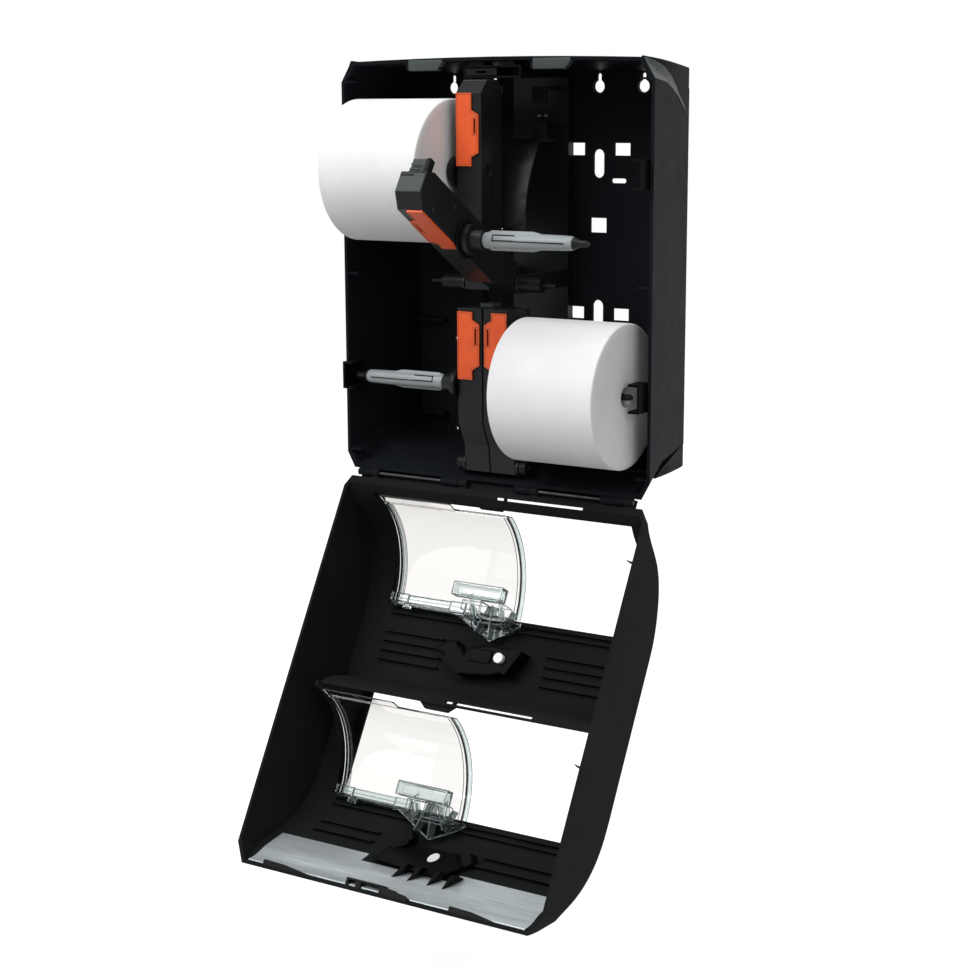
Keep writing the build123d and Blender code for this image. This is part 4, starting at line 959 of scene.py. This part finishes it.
def door_rims(level):
    # Dark strips along both door edges: painted shade and reflection for how the clear edges look
    dark = [
        door_arc(f"{level}_edge_right", level, (15.6, 16.9), (78.7, 81.4)),
        door_arc(f"{level}_line_right", level, (12.9, 13.3), (78.6, 79.1)),
        door_arc(f"{level}_edge_left", level, (-109.4, -107.6), (77.4, 81.2)),
        door_arc(f"{level}_line_left", level, (-103.6, -103.2), (78.6, 79.1)),
    ]
    fit_to_cover(join_pieces(f"{level}_door_rims", dark), "rim", f"{level}_door")
    lips = [
        door_arc(f"{level}_lip_right", level, (17.05, 20.6), (79.9, 80.9)),
        door_arc(f"{level}_lip_left", level, (-107.4, -104.4), (78.0, 78.9)),
    ]
    fit_to_cover(join_pieces(f"{level}_door_lips", lips), "carriage", f"{level}_door")
    head = door_arc(f"{level}_door_head", level, (-111.2, -37.4), (79.2, 80.6), first=6.5, last=15.4)
    fit_to_cover(head, "door", f"{level}_door")


def raised(up, level):
    """A pair of heights, given for the lower window, at a level's own window."""
    return (WINDOW_FOOT[level] + up[0], WINDOW_FOOT[level] + up[1])


def head_bar(level):
    """The stepped bar along a door's head, with a clip at its far end, kept clear of a full roll."""
    steps = (
        ((-113.4, -95.0), (90.0, 98.0), (65.0, 67.9)),
        ((-95.0, -50.0), (91.0, 98.6), (65.2, 67.7)),
        ((-50.0, -34.0), (90.2, 101.2), (64.8, 67.7)),
        ((-98.0, -90.0), (98.0, 103.5), (64.6, 67.9)),
    )
    bars = []
    for number, (across, up, out) in enumerate(steps):
        bar = cover_block(f"{level}_head_bar_{number}", across, raised(up, level), out)
        sink(bar, (0, 1, 0), 1.1, 0.8)
        round_edges(bar, 0.3)
        bars.append(bar)
    bars = join_pieces(f"{level}_head_bar", bars)
    fit_to_cover(bars, "carriage", f"{level}_door")
    # Thin strips along the bar's edges in the rib finish: painted shade and reflection for how its clear edges
    # look
    edges = (
        ((-113.0, -36.0), (94.6, 95.1), 65.1),
        ((-113.0, -50.0), (90.7, 91.1), 65.1),
        ((-95.0, -50.0), (98.3, 98.8), 65.1),
        ((-95.2, -94.6), (90.0, 99.0), 65.0),
        ((-50.3, -49.7), (90.2, 101.2), 64.8),
        ((-98.0, -90.0), (103.1, 103.6), 64.6),
    )
    lines = []
    for number, (across, up, out) in enumerate(edges):
        line = cover_block(f"{level}_bar_line_{number}", across, raised(up, level), (out - 0.1, out + 0.4))
        lines.append(line)
    lines = join_pieces(f"{level}_bar_lines", lines)
    round_edges(lines, 0.06)
    fit_to_cover(lines, "rib", f"{level}_door")


def clear_carriage(level):
    """The carriage: its own plate cut to a V, an open box that feels the roll, and crossed ribs."""
    tip = on_cover(-3.0, WINDOW_FOOT[level] + 120.5, 60.0)
    floor_out = 68.0 if level == "lower" else 59.0
    bar_thickness = 0.9
    plate = merged_copy(f"{level}_door_carriage", f"{level}_clear_carriage", on_closed_cover=True)
    slice_off(plate, tip, (-0.42, 0, 0.9))
    slice_off(plate, tip, (0.53, 0, 0.85))
    round_edges(plate, 0.3)
    fit_to_cover(plate, "carriage", f"{level}_door")
    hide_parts(f"{level}_door_carriage")
    open_boxes = (
        ((-33.3, 16.3), (78.8, 90.2), (35.8, 45.2)),
        ((-8.0, 14.0), (90.5, 104.0), (46.0, floor_out - 4)),
        ((-30.0, -10.0), (90.5, 99.0), (52.0, floor_out - 2)),
    )
    parts = []
    for number, (across, up, out) in enumerate(open_boxes):
        open_box = cover_block(f"{level}_frame_{number}", across, raised(up, level), out)
        wires = open_box.modifiers.new("bars", "WIREFRAME")
        wires.thickness = bar_thickness * mm
        bpy.ops.object.modifier_apply(modifier=wires.name)
        parts.append(open_box)
    ribs = (
        ((-22.0, -20.8), (92.0, 110.0), 24.0),
        ((-12.0, -10.8), (90.0, 116.0), -18.0),
        ((-3.0, -1.8), (90.0, 119.0), 8.0),
        ((6.0, 7.2), (90.0, 112.0), 28.0),
        ((14.0, 15.2), (92.0, 106.0), -22.0),
        ((-16.0, 12.0), (98.0, 99.2), 0.0),
        ((-18.0, 10.0), (106.0, 107.0), 0.0),
        ((-2.0, 18.0), (101.0, 102.0), 0.0),
    )
    for number, (across, up, tilt) in enumerate(ribs):
        up = raised(up, level)
        rib = cover_block(f"{level}_rib_{number}", across, up, (floor_out - 8.5, floor_out + 1.5))
        middle = point(*on_cover(sum(across) / 2, sum(up) / 2, 0))
        tilted = Matrix.Rotation(math.radians(tilt), 4, "Y")
        rib.matrix_world = Matrix.Translation(middle) @ tilted @ Matrix.Translation(-middle)
        settle(rib)
        round_edges(rib, 0.25)
        parts.append(rib)
    fit_to_cover(join_pieces(f"{level}_carriage_ribs", parts), "rib", f"{level}_door")


# Door stops: a hooked block on the lower one, a block with a row of thin teeth on the upper
def cut_out(name, outline, near, far):
    """A block on the closed cover, from an outline of places across and up it, between two depths."""
    deselect_all()
    bpy.ops.mesh.primitive_circle_add(
        vertices=len(outline), radius=0.01, fill_type="NGON", location=(0, 0, 0)
    )
    piece = take_new(name)
    for vertex, (x, up) in zip(piece.data.vertices, outline):
        vertex.co = point(*on_cover(x, up, far))
    start_editing(piece)
    bpy.ops.mesh.extrude_region_move(TRANSFORM_OT_translate={"value": (0, (far - near) * mm, 0)})
    face_outwards()
    return piece


def lower_stop():
    hook = [
        (-53.0, 135.5), (-48.0, 131.0), (-41.0, 126.2), (-32.0, 124.8), (-30.5, 129.0), (-25.0, 131.5),
        (-21.7, 136.0), (-19.0, 130.0), (-14.0, 127.2), (2.6, 124.2), (24.4, 124.2), (26.0, 131.0),
        (29.0, 133.0), (22.0, 146.0), (6.0, 151.0), (-24.5, 154.0), (-34.0, 148.5), (-45.0, 142.0),
        (-41.0, 138.0),
    ]
    body = cut_out("lower_stop_body", hook, 63.5, 78.0)
    sink(body, (0, 1, 0), 1.6, 1.0)
    round_edges(body, 0.6)
    blade_outline = [(33.0, 125.0), (36.5, 126.0), (25.0, 149.0), (20.0, 148.0)]
    blade = cut_out("lower_stop_blade", blade_outline, 60.5, 78.0)
    round_edges(blade, 0.5)
    cap_outline = [(24.0, 124.6), (33.5, 125.2), (27.5, 138.0), (22.5, 138.0)]
    cap = cut_out("lower_stop_cap", cap_outline, 62.0, 66.0)
    round_edges(cap, 0.4)
    step = cover_block("lower_stop_step", (-16.0, 6.0), (129.0, 141.0), (62.8, 64.5))
    sink(step, (0, 1, 0), 1.2, 0.5)
    round_edges(step, 0.3)
    stop = join_pieces("lower_stop", [body, blade, cap, step])
    fit_to_cover(stop, "jet", "cover")
    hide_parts("lower_door_stop")


def upper_stop():
    body = merged_copy("upper_door_stop", "upper_stop", on_closed_cover=True)
    slice_off(body, on_cover(-30.0, 312.0, 50.0), (-0.95, 0, -0.3))
    slice_off(body, on_cover(0.0, 329.5, 30.0), (-0.05, 0, 1.0))
    round_edges(body, 0.5)
    parts = [body]
    for number, (root, tip) in enumerate(((6.0, -7.6), (20.0, 8.3), (38.0, 28.0), (52.0, 43.0))):
        outline = [(root - 3.0, 327.0), (root + 1.2, 325.5), (root - 2.6, 333.0), (tip, 342.0)]
        tooth = cut_out(f"upper_stop_tooth_{number}", outline, 20.0, 36.0)
        slice_off(tooth, on_cover(0, 342.0, 19.5), (0, 0.80, 0.60))
        round_edges(tooth, 0.25)
        parts.append(tooth)
    levers = (
        [(-32.0, 310.0), (-24.0, 305.0), (-12.0, 303.5), (-14.0, 309.0), (-26.0, 315.0)],
        [(-18.0, 300.0), (-12.0, 296.5), (-10.0, 303.5), (-14.0, 306.0)],
        [(30.0, 303.0), (48.0, 304.0), (52.0, 312.0), (44.0, 318.0), (40.0, 309.0)],
    )
    for number, outline in enumerate(levers):
        lever = cut_out(f"upper_stop_lever_{number}", outline, 44.0, 56.0)
        round_edges(lever, 0.4)
        parts.append(lever)
    stop = join_pieces("upper_stop", parts)
    fit_to_cover(stop, "jet", "cover")
    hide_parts("upper_door_stop")


# Cover's rim: slender wedges pointed at their right ends, an open catch between them, and two barbs
def pointed_tab(side, start, end):
    outline = [
        (start, 357.6), (start, 351.8), (start + 1.5, 351.0), (start + 22.0, 351.6),
        (end - 14.0, 354.0), (end, 355.8), (end - 8.0, 357.6),
    ]
    tab = cut_out(f"{side}_pointed_tab", outline, 0.4, 8.0)
    sink(tab, (0, 0, -1), 0.8, 0.5)
    round_edges(tab, 0.5)
    fit_to_cover(tab, "deep", "cover")
    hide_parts(f"{side}_locating_tab")


def open_catch():
    """The catch: an open frame with two studs in it, and a tapered guide beside it."""
    frame_bars = (
        ((-34.5, -32.0), (348.6, 357.6), 11.0),
        ((-32.2, -1.0), (348.6, 350.4), 11.0),
        ((-32.2, -1.0), (356.0, 357.6), 9.0),
        ((-24.5, -19.5), (350.2, 356.2), 8.0),
        ((-1.2, 1.2), (348.6, 357.6), 11.0),
    )
    parts = []
    for number, (across, up, out) in enumerate(frame_bars):
        bar = cover_block(f"catch_bar_{number}", across, up, (0.2, out))
        round_edges(bar, 0.35)
        parts.append(bar)
    for number, x in enumerate((-15.0, -8.0)):
        stud = cover_block(f"catch_stud_{number}", (x - 1.7, x + 1.7), (353.4, 356.4), (3.0, 7.5))
        round_edges(stud, 1.2, segments=4)
        parts.append(stud)
    outline = [
        (1.0, 357.6), (1.0, 349.6), (10.0, 349.8), (18.0, 351.6), (22.0, 351.6), (29.0, 354.0), (25.0, 357.6),
    ]
    guide = cut_out("catch_guide", outline, 0.2, 9.0)
    sink(guide, (0, 0, -1), 0.9, 0.5)
    round_edges(guide, 0.5)
    catch = join_pieces("open_catch", parts + [guide])
    fit_to_cover(catch, "deep", "cover")
    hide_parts("cover_catch")


def wall_barbs():
    """Two small barbs inside the cover's right wall, one beside each window."""
    barbs = []
    for number, up in enumerate((50.6, 222.8)):
        outline = [(150.6, up + 1.4), (150.6, up - 1.2), (141.8, up - 2.6), (144.5, up - 0.8)]
        barbs.append(cut_out(f"wall_barb_{number}", outline, 2.5, 4.5))
    fit_to_cover(join_pieces("wall_barbs", barbs), "deep", "cover")


for arm in ARMS:
    spindle_sleeve(arm)
    bordered_plate(arm)
    arm_details(arm)
for arm in ARMS_WITH_ROLL:
    wound_roll(arm)
for side in SIDES:
    upper_corner(side)
    lower_corner(side)
foot_tray()
hinge_apron()
for number, x in enumerate(KEYHOLES_X):
    keyhole_rim(number, x)
hinge_leaf()
rim_pads()
back_plates()
for level in LEVELS:
    door_rims(level)
    head_bar(level)
    clear_carriage(level)
lower_stop()
upper_stop()
pointed_tab("left", -120.5, -64.0)
pointed_tab("right", 66.5, 119.0)
open_catch()
wall_barbs()


# Studio
def add_node(tree, kind, **values):
    """A shader node, with its inputs set by name."""
    node = tree.nodes.new(f"ShaderNode{kind}")
    for socket, value in values.items():
        node.inputs[socket].default_value = value
    return node


def seen_straight(tree):
    """1 where the camera, gloss or clear plastic sees a background, and 0 where it lights a piece."""
    rays = add_node(tree, "LightPath")
    share = rays.outputs["Is Camera Ray"]
    for kind in ("Is Glossy Ray", "Is Transmission Ray"):
        larger = add_node(tree, "Math")
        larger.operation = "MAXIMUM"
        tree.links.new(share, larger.inputs[0])
        tree.links.new(rays.outputs[kind], larger.inputs[1])
        share = larger.outputs[0]
    return share


def pale_floor():
    """A matt floor that keeps the object's shadow and is seen as white."""
    below_object = 0.12
    glow = 0.86
    low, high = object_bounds()
    bpy.ops.mesh.primitive_plane_add(size=9.0, location=(0, 0, low.z - below_object))
    floor = bpy.context.active_object
    floor.name = "studio_floor"
    white = Finish("studio_floor_white")
    white.set(Base_Color=(0.42, 0.42, 0.42, 1), Roughness=0.9)
    tree = white.tree
    scale = add_node(tree, "Math")
    scale.operation = "MULTIPLY"
    scale.inputs[1].default_value = glow
    bright = add_node(tree, "Emission")
    both = add_node(tree, "AddShader")
    tree.links.new(seen_straight(tree), scale.inputs[0])
    tree.links.new(scale.outputs[0], bright.inputs["Strength"])
    tree.links.new(white.shader.outputs["BSDF"], both.inputs[0])
    tree.links.new(bright.outputs["Emission"], both.inputs[1])
    tree.links.new(both.outputs[0], tree.nodes["Material Output"].inputs["Surface"])
    floor.data.materials.append(white.material)


def white_world():
    """A world that is seen as white and lights the object softly."""
    world = bpy.data.worlds.new("studio_world")
    bpy.context.scene.world = world
    world.use_nodes = True
    tree = world.node_tree
    tree.nodes.clear()
    soft = add_node(tree, "Background", Color=(1, 1, 1, 1), Strength=0.30)
    shown = add_node(tree, "Background", Color=(1, 1, 1, 1), Strength=1.0)
    mix = add_node(tree, "MixShader")
    output = add_node(tree, "OutputWorld")
    tree.links.new(seen_straight(tree), mix.inputs["Fac"])
    tree.links.new(soft.outputs[0], mix.inputs[1])
    tree.links.new(shown.outputs[0], mix.inputs[2])
    tree.links.new(mix.outputs[0], output.inputs["Surface"])


def softbox(name, where, size, watts):
    """A soft lamp that looks at the middle of the object."""
    lamp = bpy.data.lights.new(name, "AREA")
    lamp.shape = "RECTANGLE"
    lamp.size, lamp.size_y = size
    lamp.energy = watts
    holder = bpy.data.objects.new(name, lamp)
    bpy.context.scene.collection.objects.link(holder)
    direction = Vector((0.0, -0.1, -0.15)) - Vector(where)
    turn = direction.to_track_quat("-Z", "Y").to_matrix().to_4x4()
    holder.matrix_world = Matrix.Translation(where) @ turn


camera_from_photograph()
pale_floor()
white_world()
softbox("key_softbox", (-1.1, -2.2, 1.8), (1.6, 1.2), 44.0)
softbox("fill_softbox", (2.4, -1.6, 0.6), (1.2, 1.8), 12.0)
softbox("top_softbox", (0.2, -0.9, 2.0), (1.6, 1.0), 23.0)

scene = bpy.context.scene
scene.view_settings.view_transform = "Standard"
